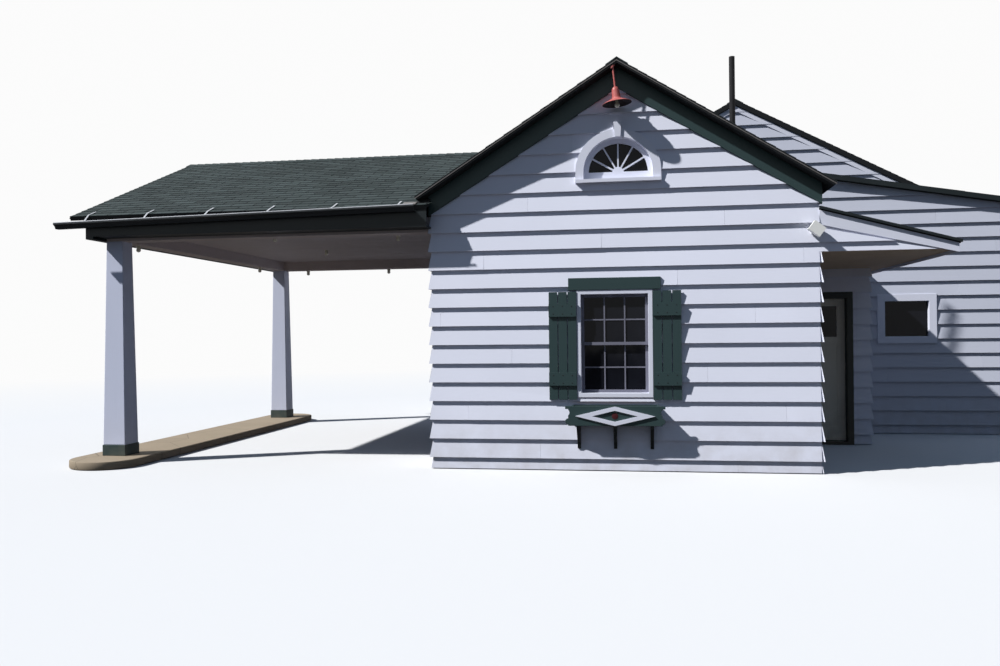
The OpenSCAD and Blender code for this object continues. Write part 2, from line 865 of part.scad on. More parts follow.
// Fascia and soffit of the near eave, drawn for y = fascia_y
module eave_box() {
    inner = fascia_y + fascia_t;
    color(dark) difference() {
        union() {
            along_x(gable_x, left) {
                polygon([[fascia_y, soffit_z], [inner, soffit_z], [inner, canopy_seat(inner)],
                    [fascia_y, canopy_seat(fascia_y)]]);
                translate([fascia_y, soffit_z]) square([beam_face - fascia_y, board_t]);
            }
            along_x(gable_x - return_l, gable_x) polygon([[fascia_y, beam_z], [ridge_y, beam_z],
                [ridge_y, beam_top], [beam_face, beam_top], [beam_face, canopy_seat(beam_face)],
                [fascia_y, canopy_seat(fascia_y)]]);
        }
        house_form();
    }
}

module mirrored_at_ridge() {
    translate([0, 2 * ridge_y, 0]) mirror([0, 1, 0]) children();
}

module eave_front() { eave_box(); }
module eave_back() {
    color(dark) difference() {
        mirrored_at_ridge() eave_box();
        house_form();
    }
}

// Section of a gutter whose back lies against y = 0 and whose rim is at z = 0
module gutter_section() {
    w = gutter_w;
    d = gutter_d;
    t = gutter_t;
    polygon([[0, -gutter_back], [0, -d], [-w * 0.62, -d], [-w * 0.72, -d * 0.6], [-w, -d * 0.28],
        [-w, 0], [-w + 3 * t, 0], [-w + 3 * t, -2 * t], [-w + t, -2 * t], [-w + t, -d * 0.28 - t / 3],
        [-w * 0.72 + t, -d * 0.6 - t / 3], [-w * 0.62 + t, -d + t], [-t, -d + t], [-t, -gutter_back]]);
}

module gutter() {
    run = left - gutter_in - verge_x + gutter_over;
    translate([left - gutter_in, fascia_y, canopy_under(fascia_y) + gutter_rise])
        rotate([0, -gutter_fall, 0]) along_x(-run, 0) gutter_section();
}

module gutters() {
    color(dark) difference() {
        union() {
            gutter();
            mirrored_at_ridge() gutter();
        }
        house_form();
    }
}

// Lamps under the ceiling, under the outer beam and under the far beam, as shares of the canopy's size
ceiling_lamps = [for (p = [[0.41, -0.285], [0.41, 0.108], [0.805, -0.231]])
    [gable_x + p[0] * (left - gable_x), ridge_y + p[1] * post_gap]];
outer_lamps = [for (y = [0.084, 0.82]) [post_x, post_y[0] + y * post_gap]];
far_lamps = [for (x = [0.152, 0.516]) [gable_x + x * (left - gable_x), post_y[1]]];

module bulb(x, y, z) {
    translate([x, y, z - holder_h]) cylinder(h = holder_h, r = bulb_r, $fn = small_fn);
    translate([x, y, z - holder_h - bulb_r * 0.8]) sphere(r = bulb_r, $fn = small_fn);
}

module canopy_lamps() {
    color("#e6dfc8") {
        for (p = ceiling_lamps) bulb(p[0], p[1], ceiling_z);
        for (p = concat(outer_lamps, far_lamps)) bulb(p[0], p[1], beam_z);
        translate([0, lamp_y, lamp_z]) rotate([0, -lamp_tilt, 0]) {
            cylinder(h = shade_h - 2 * lamp_shell, r = bulb_r / 2, $fn = small_fn);
            translate([0, 0, -bulb_r * 0.7]) sphere(r = bulb_r, $fn = small_fn);
        }
    }
}

// Side porch

module porch_roof() {
    color(shingle) along_y(front - fascia_t, wing_front)
        slope(right, porch_z, porch_r, porch_angle, porch_t);
}

porch_inner = porch_r - 2 * fascia_t;

module porch_infill() {
    color(white) along_y(front, front + 3 * fascia_t) polygon([[right, porch_ceiling_z + board_t],
        [porch_inner, porch_ceiling_z + board_t], [porch_inner, porch_seat(porch_inner)],
        [right, porch_seat(right)]]);
}

module porch_fascia() {
    board = porch_inner + fascia_t;
    color(white) {
        along_y(front - fascia_t, front) polygon([[right, porch_seat(right)],
            [board, porch_seat(board)], [board, porch_seat(board) - porch_fascia * 0.6],
            [right, porch_seat(right) - porch_fascia]]);
        along_y(front, wing_front) polygon([[porch_inner, porch_seat(porch_inner)],
            [board, porch_seat(board)], [board, porch_seat(board) - porch_fascia * 0.6],
            [porch_inner, porch_seat(board) - porch_fascia * 0.6]]);
    }
}

module porch_ceiling() {
    top = porch_ceiling_z + board_t;
    color("#5a4a3c") {
        span([right, front, porch_ceiling_z], [porch_inner, door_wall, top]);
        span([vestibule_r, door_wall - 1, porch_ceiling_z], [porch_inner, wing_front, top]);
    }
}

opening_l = door_l - jamb_t;
opening_r = door_r + jamb_t;
opening_z = door_top + door_gap + jamb_t;

module door_wall_side() {
    color(white) along_y(door_wall, door_wall + wall_t) {
        polygon([[right, 0], [opening_l, 0], [opening_l, opening_z], [right, opening_z]]);
        polygon([[opening_r, 0], [vestibule_r, 0], [vestibule_r, opening_z], [opening_r, opening_z]]);
    }
}

module door_wall_head() {
    color(white) along_y(door_wall, door_wall + wall_t) polygon([[right, opening_z],
        [vestibule_r, opening_z], [vestibule_r, porch_seat(vestibule_r)], [right, porch_seat(right)]]);
}

module vestibule_wall() {
    inner = vestibule_r - wall_t;
    color(white) side_wall(vestibule_r, inner, door_wall + wall_t, wing_front,
        porch_seat(vestibule_r), porch_seat(inner));
}

stop_t = 12;

module door_frame() {
    leaf_face = door_wall + wall_t - door_t;
    top = door_top + door_gap;
    color(dark) difference() {
        union() {
            span([opening_l, door_wall, 0], [opening_r, door_wall + wall_t, opening_z]);
            span([door_l - door_casing, door_wall - trim_t, 0],
                [door_r + door_casing, door_wall, top + door_casing + 6]);
        }
        span([door_l, leaf_face - 2, floor_t], [door_r, door_wall + wall_t + 1, top]);
        span([door_l + stop_t, door_wall - wall_t, floor_t], [door_r - stop_t, leaf_face + 1, top - stop_t]);
    }
}

hinge_z = [door_foot + hinge_in, door_foot + (door_h - hinge_h) / 2, door_foot + door_h - hinge_in - hinge_h];
hinge_plate = 36;
plate_t = 3;

module hinge_pins() {
    third = hinge_h / 3;
    color("#8a8f8c") for (z = hinge_z) translate([hinge_x, hinge_y, z]) {
        cylinder(h = hinge_h, r = pin_r, $fn = small_fn);
        for (k = [0, 2 * third + knuckle_gap])
            translate([0, 0, k]) {
                cylinder(h = third - knuckle_gap, r = knuckle_r, $fn = small_fn);
                span([0, -knuckle_r, 0], [hinge_plate, -knuckle_r + plate_t, third - knuckle_gap]);
            }
    }
}

module door_hinges() {
    third = hinge_h / 3;
    color("#8a8f8c") for (z = hinge_z) translate([hinge_x, hinge_y, z + third]) difference() {
        union() {
            cylinder(h = third, r = knuckle_r, $fn = small_fn);
            span([-hinge_plate, -knuckle_r, 0], [0, -knuckle_r + plate_t, third]);
        }
        translate([0, 0, -1]) cylinder(h = third + 2, r = pin_r + pin_clear, $fn = small_fn);
    }
}

leaf_l = door_l + door_gap;
leaf_y = door_wall + wall_t - door_t;
light_w = door_w - 2 * stile_w;
light_z = door_h - light_drop - light_h;

module door_leaf() {
    panels = 3;
    rail = 190;
    mullion = 46;
    sunk = 10;
    panel_w = (light_w - (panels - 1) * mullion) / panels;
    panel_top = light_z - stile_w;
    color("#e8e2d2") translate([leaf_l, leaf_y, door_foot]) difference() {
        cube([door_w, door_t, door_h]);
        span([stile_w, -1, light_z], [stile_w + light_w, door_t + 1, light_z + light_h]);
        for (i = [0 : panels - 1], y = [-1, door_t - sunk])
            translate([stile_w + i * (panel_w + mullion), y, rail])
                cube([panel_w, sunk + 1, panel_top - rail]);
    }
}

module door_glass() {
    color("#12161c") translate([leaf_l, leaf_y, door_foot])
        span([stile_w, (door_t - glass_t) / 2, light_z],
            [stile_w + light_w, (door_t + glass_t) / 2, light_z + light_h]);
}

module knob() {
    rotate_extrude($fn = 32) polygon([[0, 0], [26, 0], [26, 4], [11, 9], [10, 26], [20, 32], [27, 42],
        [25, 52], [14, 58], [0, 59]]);
}

module door_knobs() {
    color("#b09a5a") translate([leaf_l + knob_in, leaf_y, door_foot + knob_h]) {
        rotate([90, 0, 0]) knob();
        translate([0, door_t, 0]) rotate([-90, 0, 0]) knob();
    }
}

// Rear rooms and wing

module cross_wall() {
    color(white) span([left, back, 0], [right, back + wall_t, header_z]);
}

module rear_gable() {
    inner = wing_right - wall_t;
    color(white) along_y(back, back + wall_t) polygon([[left, header_z], [inner, header_z],
        [inner, wing_seat(inner)], [break_x, wing_seat(break_x)], [break_x, rear_seat(break_x)],
        [rear_ridge_x, rear_seat(rear_ridge_x)], [left, rear_seat(left)]]);
}

module rear_left_wall() {
    inner = left + wall_t;
    color(white) difference() {
        side_wall(left, inner, back + wall_t, rear_back - wall_t, rear_seat(left), rear_seat(inner));
        at_left_window(left_window_y[1]) window_hole();
    }
}

module rear_back_wall() {
    color(white) difference() {
        along_y(rear_back - wall_t, rear_back) polygon([[left, 0], [wing_right, 0],
            [wing_right, wing_seat(wing_right)], [break_x, wing_seat(break_x)],
            [break_x, rear_seat(break_x)], [rear_ridge_x, rear_seat(rear_ridge_x)],
            [left, rear_seat(left)]]);
        for (x = back_window_x) at_back_window(x) small_hole();
    }
}

module rear_floor() {
    inner = wing_right - wall_t;
    color(concrete) {
        span([left + wall_t, back + wall_t, 0], [inner, rear_back - wall_t, floor_t]);
        span([right, wing_front + wall_t, 0], [inner, back + wall_t + 1, floor_t]);
        span([right, door_wall + wall_t, 0], [vestibule_r - wall_t, wing_front, floor_t]);
    }
}

module rear_roof_left() {
    color(shingle) difference() {
        along_y(back - rear_rake, rear_back + rear_rake)
            slope(rear_ridge_x, rear_ridge_z, eave_l, rear_angle, roof_t);
        along_y(back - rear_rake - 1, back) polygon([[2 * eave_l, 0], [2 * eave_l, office_top(2 * eave_l)],
            [0, office_ridge], [right, office_top(right)], [right, 0]]);
    }
}

module rear_roof_right() {
    color(shingle) difference() {
        along_y(back - rear_rake, rear_back + rear_rake)
            polygon([[rear_ridge_x, rear_ridge_z], [break_x, rear_top(break_x)],
                [break_x, rear_under(break_x)], [rear_ridge_x, rear_under(rear_ridge_x)]]);
        wing_slab();
    }
}

module wing_slab() {
    tip = wing_right + wing_over;
    along_y(wing_front - wing_over, rear_back + rear_rake)
        slope(break_x, wing_top(break_x), tip, wing_angle, roof_t);
    along_y(wing_front - wing_over, back) polygon([[right, wing_top(right)],
        [break_x, wing_top(break_x)], [break_x, wing_under(break_x)], [right, wing_under(right)]]);
}

module wing_roof() { color(dark) wing_slab(); }

module wing_front_wall() {
    color(white) difference() {
        along_y(wing_front, wing_front + wall_t) polygon([[right, 0], [wing_right, 0],
            [wing_right, wing_seat(wing_right)], [right, wing_seat(right)]]);
        span([right - 1, wing_front - 1, floor_t],
            [vestibule_r - wall_t, wing_front + wall_t + 1, floor_t + inner_door_h]);
        at_wing_window() small_hole();
    }
}

module wing_right_wall() {
    inner = wing_right - wall_t;
    color(white) difference() {
        side_wall(wing_right, inner, wing_front + wall_t, rear_back - wall_t,
            wing_seat(wing_right), wing_seat(inner));
        for (y = side_window_y) at_side_window(y) small_hole();
    }
}

module wing_cheek() {
    inner = right + wall_t;
    color(white) along_y(wing_front + wall_t, back) polygon([[right, header_z], [inner, header_z],
        [inner, wing_seat(inner)], [right, wing_seat(right)]]);
}

module small_casings() {
    color(white) at_small_windows() small_casing();
}

office_floor();
front_wall();
left_wall();
right_wall();
roof_left();
roof_right();
frieze_boards();
fan_casing();
fan_sash();
window_casings();
window_sashes();
window_glass();
window_head();
shutters();
flower_box();
box_brackets();
box_ornament();
gable_lamp();
vent_pipe();
corner_lamp();
pump_island();
post_plinths();
canopy_posts();
beam_front();
beam_back();
beam_outer();
canopy_ceiling();
canopy_roof_front();
canopy_roof_back();
canopy_gable();
eave_front();
eave_back();
gutters();
canopy_lamps();
porch_roof();
porch_infill();
porch_fascia();
porch_ceiling();
door_wall_side();
door_wall_head();
vestibule_wall();
door_frame();
hinge_pins();
door_leaf();
door_glass();
door_hinges();
door_knobs();
cross_wall();
rear_gable();
rear_left_wall();
rear_back_wall();
rear_floor();
rear_roof_left();
rear_roof_right();
wing_roof();
wing_front_wall();
wing_right_wall();
wing_cheek();
small_casings();
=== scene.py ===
"""Dresses the filling station cottage: boards, shingles, paint, glass, light and camera."""

import json
import math
from functools import cache
from types import SimpleNamespace

import bmesh
import bpy
from bpy.props import FloatProperty, FloatVectorProperty, IntProperty, PointerProperty
from mathutils import Matrix, Vector, noise


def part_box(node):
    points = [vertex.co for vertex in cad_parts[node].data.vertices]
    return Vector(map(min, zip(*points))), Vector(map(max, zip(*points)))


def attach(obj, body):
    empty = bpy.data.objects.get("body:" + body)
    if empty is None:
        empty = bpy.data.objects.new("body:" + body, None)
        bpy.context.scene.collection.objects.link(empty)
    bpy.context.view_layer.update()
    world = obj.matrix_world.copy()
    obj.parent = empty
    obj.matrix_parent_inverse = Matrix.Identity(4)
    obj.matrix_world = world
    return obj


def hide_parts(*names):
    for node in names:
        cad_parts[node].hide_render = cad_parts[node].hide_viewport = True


bl_info = {
    "name": "Filling station cottage",
    "version": (1, 0, 0),
    "blender": (4, 5, 0),
    "location": "3D View > Sidebar > Station",
    "description": "Dresses a filling station cottage and its canopy with boards, shingles and paint",
    "category": "Object",
}

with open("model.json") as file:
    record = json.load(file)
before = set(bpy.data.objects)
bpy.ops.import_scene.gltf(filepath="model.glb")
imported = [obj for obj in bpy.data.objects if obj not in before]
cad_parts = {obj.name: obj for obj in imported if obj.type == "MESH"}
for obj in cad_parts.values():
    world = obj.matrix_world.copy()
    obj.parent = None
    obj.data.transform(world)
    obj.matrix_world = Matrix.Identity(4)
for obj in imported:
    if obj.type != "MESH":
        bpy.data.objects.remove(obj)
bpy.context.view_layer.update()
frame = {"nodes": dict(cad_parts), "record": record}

BUILDING = "building"
MATERIAL_PREFIX = "station_"

BACK = 0.001      # how far the back of a board or strip lies inside what carries it
CLEAR = 0.01      # gap between a wall's boards and the roof above them
LAP = 0.01        # how far two openings in one wall run into each other
STAGGER = 0.382   # shift of the joints from one course of boards to the next, as a share of a board
WELD = 1e-5       # vertices closer than this are one
FLAT = math.radians(0.5)    # faces that meet at less than this are one face
SHARP = math.radians(35)    # edges sharper than this are eased
SENSOR = 36.0     # width of the camera's sensor in millimetres


def linear(red, green, blue):
    """A colour given as 0 to 255 on screen, as shares of full light."""
    def channel(value):
        value /= 255
        return value / 12.92 if value <= 0.04045 else ((value + 0.055) / 1.055) ** 2.4

    return channel(red), channel(green), channel(blue)


def length(name, description, default, low=0.0, high=20.0):
    return FloatProperty(name=name, description=description, default=default, min=low, max=high,
                         unit="LENGTH", subtype="DISTANCE", precision=4)


def angle(name, description, degrees):
    return FloatProperty(name=name, description=description, default=math.radians(degrees),
                         min=-math.pi, max=math.pi, subtype="ANGLE", unit="ROTATION")


def colour(name, description, red, green, blue):
    return FloatVectorProperty(name=name, description=description, default=linear(red, green, blue),
                               size=3, min=0, max=1, subtype="COLOR")


class StationRoofs(bpy.types.PropertyGroup):
    """Pitches of the roofs, which the boards and shingles follow."""

    office: angle("Office", "Pitch of the office roof", 32.2)
    canopy: angle("Canopy", "Pitch of the canopy roof", 22.4)
    porch: angle("Porch", "Pitch of the porch roof", 15.6)
    rear: angle("Rear", "Pitch of the rear roof", 28.2)
    wing: angle("Wing", "Pitch of the wing roof", 9.9)
    office_slab: length("Office slab", "Thickness of the office roof, square to the slope", 0.045)
    slab: length("Slab", "Thickness of the rear roofs, square to the slope", 0.075)
    canopy_slab: length("Canopy slab", "Thickness of the canopy roof", 0.05)
    frieze: length("Frieze", "Width of the frieze board below the rake", 0.2)


class StationBoards(bpy.types.PropertyGroup):
    """Clapboards on the outside walls, and the boards of both ceilings."""

    exposure: length("Exposure", "Height of each course of clapboards", 0.2238)
    first_butt: length("First butt", "Height of the lowest butt line above ground", 0.139)
    butt: length("Butt", "Thickness of a clapboard at its lower edge", 0.039)
    tip: length("Tip", "Thickness where the next course covers it", 0.003)
    run: length("Length", "Length of one clapboard", 3.66)
    joint: length("Joint", "Gap between the ends of two boards", 0.0015)
    foot: length("Foot", "Gap between the ground and the lowest board", 0.008)
    ceiling_w: length("Ceiling board", "Width of a ceiling board", 0.14)
    ceiling_t: length("Ceiling thickness", "Thickness of a ceiling board", 0.009)


class StationShingles(bpy.types.PropertyGroup):
    """Strip shingles on the pitched roofs, and their ridge caps."""

    exposure: length("Exposure", "Length of a tab to the weather", 0.127)
    tab: length("Tab", "Width of a tab with its slot", 0.305)
    slot: length("Slot", "Width of the slot between tabs", 0.013)
    butt: length("Butt", "Thickness at the lower edge", 0.008)
    tip: length("Tip", "Thickness at the upper edge", 0.0025)
    cap_w: length("Cap width", "Width of a ridge cap on each side of the ridge", 0.15)
    strip: length("Roll width", "Width of the roll roofing to the weather", 0.85)
    strip_run: length("Roll length", "Length of one strip of roll roofing", 9.0)
    strip_t: length("Roll thickness", "Thickness of the roll roofing at a strip's lower edge", 0.006)
    flashing: length("Flashing", "Bare roof between the porch shingles and the wall", 0.03)
    seed: IntProperty(name="Seed", description="Seed of the small differences between tabs", default=7)


class StationWindows(bpy.types.PropertyGroup):
    """Sash windows and their bars."""

    offset: length("Offset", "Offset of the front window from the middle", -0.058, -1.0, 1.0)
    width: length("Width", "Width of a sash window over its casing", 0.877)
    height: length("Height", "Height of a sash window over its casing", 1.252)
    foot: length("Foot", "Height of the casing's foot", 0.858)
    inset: length("Inset", "From the casing's edge to the glass, at the sides and ends", 0.085)
    stile: length("Meeting rail", "Height of the meeting rail", 0.035)
    fan_foot: length("Fan foot", "From the fan window's springing line to its foot", 0.112)
    key: length("Keystone", "Width of the fan window's keystone at its top", 0.096)
    bar: length("Bar", "Width of a window bar", 0.016)
    bar_t: length("Bar depth", "Depth of a window bar in front of the glass", 0.014)
    upper_y: length("Upper sash", "From the wall's face to the middle of the upper sash", 0.037)
    lower_y: length("Lower sash", "From the wall's face to the middle of the lower sash", 0.075)
    small_w: length("Small window", "Width of a small window over its casing", 0.87)
    small_x: length("Wing window", "From the middle of the gable to the middle of the wing's window", 4.365)
    columns: IntProperty(name="Columns", description="Panes across a sash", default=3, min=1)
    rows: IntProperty(name="Rows", description="Panes up a sash", default=2, min=1)


class StationTrim(bpy.types.PropertyGroup):
    """Metal strips and straps, small boards, nails and eased edges."""

    drip_h: length("Drip edge", "Height of the metal drip edge", 0.010)
    drip_in: length("Drip depth", "Depth of the drip edge below the roof boards' top", 0.016)
    drip_t: length("Drip thickness", "How far the drip edge stands proud", 0.005)
    fall: angle("Gutter fall", "Fall of the gutters towards their open ends", 1.0)
    porch_proud: length("Porch strip", "How far the strip on the porch's rake stands proud", 0.036)
    porch_strip: length("Porch strip height", "Height of the strip on the porch's rake", 0.03)
    bead_r: length("Bead", "Radius of the gutter's rolled front edge", 0.008)
    strap_w: length("Strap", "Width of a gutter strap", 0.022)
    strap_t: length("Strap thickness", "Thickness of a gutter strap", 0.003)
    strap_gap: length("Strap spacing", "Spacing of the gutter straps", 0.80)
    strap_first: length("First strap", "Distance of the first strap from the verge", 0.25)
    strap_reach: length("Strap reach", "How far a strap runs up the shingles", 0.16)
    flash_w: length("Flashing", "Width of the flashing at the gutter's inner end", 0.16)
    flash_in: length("Flashing reach", "How far that flashing runs up the shingles", 0.1)
    flash_t: length("Flashing thickness", "Thickness of that flashing", 0.004)
    lift: length("Roofing", "Height of the shingles over the roof boards", 0.011)
    ease: length("Eased edge", "Rounding of sawn and planed edges", 0.004)
    nail_r: length("Nail", "Radius of a nail head", 0.007)
    button_r: length("Button", "Radius of the button in the flower box ornament", 0.036)
    soil: length("Soil", "Depth of the soil below the flower box's rim", 0.035)
    box_board: length("Flower box board", "Thickness of the flower box's boards", 0.022)
    box_end: length("Flower box end", "From the flower box's shaped ends to its trough", 0.09)
    rear_frieze: length("Rear frieze", "Height of the board below the rear rake", 0.085)
    rear_frieze_t: length("Rear frieze thickness", "Thickness of the board below the rear rake", 0.032)


class StationColours(bpy.types.PropertyGroup):
    """Colours of paint, roofing and metal."""

    white: colour("White paint", "Clapboards, posts and casings", 228, 230, 243)
    green: colour("Green paint", "Frieze, shutters, head board and flower box", 50, 68, 69)
    dark: colour("Dark paint", "Soffits, fascia and door frame", 27, 34, 37)
    edge: colour("Roof edge", "Edges of the roof boards and the felt below the shingles", 24, 27, 30)
    shingle: colour("Shingle", "Mineral granules of the shingles", 65, 73, 73)
    roll: colour("Roll roofing", "Roll roofing of the wing", 44, 50, 52)
    metal: colour("Gutter", "Painted gutter", 42, 46, 49)
    pipe: colour("Pipe", "Sooty paint of the vent pipe", 12, 12, 17)
    # The gutters' beads take this pale colour partly as painted highlight along the lit top of their rims.
    strap: colour("Straps", "Bare metal of the gutter straps and beads", 188, 190, 194)
    zinc: colour("Zinc", "Drip edges and flashings", 106, 103, 101)
    concrete: colour("Concrete", "Island and floors", 154, 139, 118)
    plinth: colour("Plinth", "Paint of the post plinths", 50, 66, 66)
    ceiling: colour("Ceiling", "Paint of the canopy ceiling", 194, 186, 189)
    porch: colour("Porch", "Paint of the porch ceiling", 226, 202, 174)
    enamel: colour("Enamel", "Faded enamel of the gable lamp", 176, 88, 84)
    chalk: colour("Chalk", "Chalky bloom on the enamel", 206, 136, 130)
    rust: colour("Rust", "Rust where the enamel is chipped", 92, 62, 50)
    # Painted shade: near black on the lamp's faces that look down, inside its lampshade.
    soot: colour("Soot", "Soot under the lamp's shade", 38, 24, 24)
    button: colour("Button", "Button in the flower box ornament", 66, 18, 26)
    housing: colour("Lamp housing", "Housing of the corner lamp", 236, 236, 232)
    # A duller, darker white than the front's, on the rear gable and the wing.
    back: colour("Back paint", "Older paint of the rear gable and the wing", 197, 200, 213)
    post: colour("Posts", "Paint of the canopy posts", 207, 212, 231)
    beam: colour("Beams", "Paint of the canopy beams", 198, 187, 186)
    # Darker than the casings' white: painted shade of the window's recess, with some weathering.
    sash: colour("Sash", "Weathered paint of the window sashes", 118, 118, 132)
    door: colour("Door", "Paint of the side door", 224, 217, 200)
    # Painted shade: the glass is coloured near black for the unlit rooms behind it.
    glass: colour("Glass", "Dark rooms behind the glass", 19, 20, 26)
    haze: colour("Haze", "Dirt and bloom on the glass", 50, 54, 64)
    bulb: colour("Bulb", "Frosted bulbs", 226, 222, 204)
    steel: colour("Steel", "Hinges", 138, 142, 140)
    brass: colour("Brass", "Handled brass of the knobs", 178, 150, 92)
    tarnish: colour("Tarnish", "Brown brass where hands don't reach", 92, 70, 42)
    soil: colour("Soil", "Damp soil in the flower box", 48, 36, 27)
    clod: colour("Dry soil", "Dry clods in the flower box", 112, 92, 72)
    wood: colour("Bare wood", "Wood where paint has flaked", 128, 118, 106)
    dust: colour("Dust", "Dust that splashes up from the ground", 150, 138, 120)


class StationStage(bpy.types.PropertyGroup):
    """Camera, light and floor."""

    lens: FloatProperty(name="Lens", description="Focal length in millimetres", default=30.916, min=10)
    eye: FloatVectorProperty(name="Eye", description="Place of the camera", size=3, unit="LENGTH",
                             subtype="TRANSLATION", default=(0.187, -12.454, 1.58))
    turn: angle("Turn", "Turn of the camera to the left", 8.9875)
    tilt: angle("Tilt", "Tilt of the camera upwards", 0.2217)
    roll: angle("Roll", "Roll of the camera to the left", -0.5437)
    sun: FloatVectorProperty(name="Light direction", description="Where the main light points", size=3,
                             subtype="DIRECTION", default=(1.95, 1.0, -2.0))
    sun_power: FloatProperty(name="Main light", description="Strength of the main light", default=5.35)
    sun_size: angle("Softness", "Angle that the main light fills", 1.2)
    sky_power: FloatProperty(name="Fill light", description="Strength of the light all round", default=0.21)
    sky: FloatVectorProperty(name="Fill colour", description="Colour of the light all round", size=3,
                             min=0, max=1, subtype="COLOR", default=(0.45, 0.66, 1.0))
    backdrop: FloatProperty(name="Backdrop", description="Brightness behind the building", default=0.97)
    floor_r: length("Floor", "Radius at which the floor fades out", 30.0, 5, 200)
    floor_drop: length("Floor drop", "How far the floor lies below the building", 0.004)
    fade: FloatProperty(name="Fade", description="Where the fading starts, as a share of that radius",
                        default=0.4, min=0, max=1)
    floor: FloatVectorProperty(name="Floor colour", description="Colour of the floor as it is seen",
                               size=3, min=0, max=1, subtype="COLOR", default=(0.72, 0.72, 0.72))
    bounce: FloatVectorProperty(name="Bounce", description="Colour of the floor as it lights the building",
                                size=3, min=0, max=1, subtype="COLOR", default=(0.07, 0.067, 0.065))


GROUPS = {
    "station_roofs": StationRoofs,
    "station_boards": StationBoards,
    "station_shingles": StationShingles,
    "station_windows": StationWindows,
    "station_trim": StationTrim,
    "station_colours": StationColours,
    "station_stage": StationStage,
}


def sizes(name):
    """One group's sizes or colours, as they stand in the scene."""
    return getattr(bpy.context.scene, "station_" + name)


class Wire:
    """An output socket that takes part in sums, so that node maths reads as an expression."""

    def __init__(self, graph, socket):
        self.graph, self.socket = graph, socket

    def math(self, operation, *values):
        return self.graph.node("ShaderNodeMath", dict(enumerate(values)), operation=operation)

    def __add__(self, other):
        return self.math("ADD", self, other)

    def __sub__(self, other):
        return self.math("SUBTRACT", self, other)

    def __rsub__(self, other):
        return self.math("SUBTRACT", other, self)

    def __mul__(self, other):
        return self.math("MULTIPLY", self, other)

    def __truediv__(self, other):
        return self.math("DIVIDE", self, other)

    def floor(self):
        return self.math("FLOOR", self)

    def fraction(self):
        return self.math("FRACT", self)

    __radd__ = __add__
    __rmul__ = __mul__


class Graph:
    """Adds nodes to a tree: settings first, then the values or wires of the sockets."""

    def __init__(self, tree):
        self.tree = tree

    def node(self, kind, inputs=(), output=0, **settings):
        made = self.tree.nodes.new(kind)
        for name, value in settings.items():
            setattr(made, name, value)
        for key, value in dict(inputs).items():
            self.feed(made.inputs[key], value)
        return Wire(self, made.outputs[output]) if len(made.outputs) else None

    def feed(self, socket, value):
        if isinstance(value, (list, tuple)) and isinstance(value[0], Wire):
            for wire in value:
                self.tree.links.new(wire.socket, socket)
        elif isinstance(value, Wire):
            self.tree.links.new(value.socket, socket)
        elif socket.type == "RGBA":
            socket.default_value = (*value[:3], 1)
        else:
            socket.default_value = value


class Finish(Graph):
    """A material whose colour, roughness and relief come from patterns in the object's own space."""

    def __init__(self, name):
        self.material = bpy.data.materials.new(MATERIAL_PREFIX + name)
        self.material.use_nodes = True
        super().__init__(self.material.node_tree)
        self.tree.nodes.clear()

    def place(self, stretch=(1, 1, 1)):
        spot = self.node("ShaderNodeTexCoord", output="Object")
        return self.node("ShaderNodeMapping", {"Vector": spot, "Scale": stretch})

    def height(self):
        return self.node("ShaderNodeSeparateXYZ", {0: self.place()}, output="Z")

    def noise(self, scale, stretch=(1, 1, 1), detail=4.0, roughness=0.55):
        return self.node("ShaderNodeTexNoise", {"Vector": self.place(stretch), "Scale": scale,
                                                "Detail": detail, "Roughness": roughness})

    def cells(self, scale, output="Distance", **settings):
        return self.node("ShaderNodeTexVoronoi", {"Vector": self.place(), "Scale": scale}, output,
                         **settings)

    def band(self, value, low, high):
        """0 at low and 1 at high, even between them."""
        return self.node("ShaderNodeMapRange", {0: value, 1: low, 2: high})

    def shade(self):
        """A number from 0 to 1 that differs from board to board and from tab to tab."""
        return self.node("ShaderNodeAttribute", output="Fac", attribute_name="shade")

    def blend(self, factor, first, second, kind="MIX"):
        return self.node("ShaderNodeMix", {0: factor, 6: first, 7: second}, output=2,
                         data_type="RGBA", blend_type=kind)

    def tone(self, tint, amount):
        """The tint, darker or lighter as amount swings round 1."""
        grey = self.node("ShaderNodeCombineColor", {0: amount, 1: amount, 2: amount})
        return self.blend(1.0, tint, grey, kind="MULTIPLY")

    def surface(self, tint, roughness, relief=None, depth=0.002, **fixed):
        sockets = {"Base Color": tint, "Roughness": roughness}
        sockets.update({key.replace("_", " "): value for key, value in fixed.items()})
        if relief is not None:
            sockets["Normal"] = self.node("ShaderNodeBump", {"Height": relief, "Distance": depth})
        self.node("ShaderNodeOutputMaterial",
                  {"Surface": self.node("ShaderNodeBsdfPrincipled", sockets)})
        return self.material


# Stretches of the brush marks: along level boards, posts and ceiling boards, and the same all ways.
LEVEL = (0.5, 0.5, 14)
UPRIGHT = (14, 14, 0.5)
OVERHEAD = (0.5, 14, 14)
EVEN = (3, 3, 3)


def painted(name, tint, along=LEVEL, gloss=0.5, flaked=0.02, dusty=0.35):
    """Brushed oil paint on wood, with small flakes gone and dust low down."""
    hues = sizes("colours")
    f = Finish(name)
    brush = f.noise(11, along, detail=5)
    blotch = f.noise(1.3, detail=3)
    tone = 0.95 + 0.06 * f.shade() + 0.08 * (blotch - 0.5) + 0.07 * (brush - 0.5)
    flakes = f.band(f.noise(38, along, detail=6, roughness=0.7), 0.74 - flaked, 0.77 - flaked)
    low = f.band(f.height(), 0.75, 0.0) * f.band(f.noise(5, detail=6), 0.35, 0.75)
    base = f.blend(flakes * 0.7, f.tone(tint, tone), hues.wood)
    base = f.blend(low * dusty, base, hues.dust)
    relief = brush * 0.5 - flakes * 0.35
    return f.surface(base, gloss + 0.12 * (blotch - 0.5) + 0.25 * flakes, relief, depth=0.00025,
                     Specular_IOR_Level=0.2)


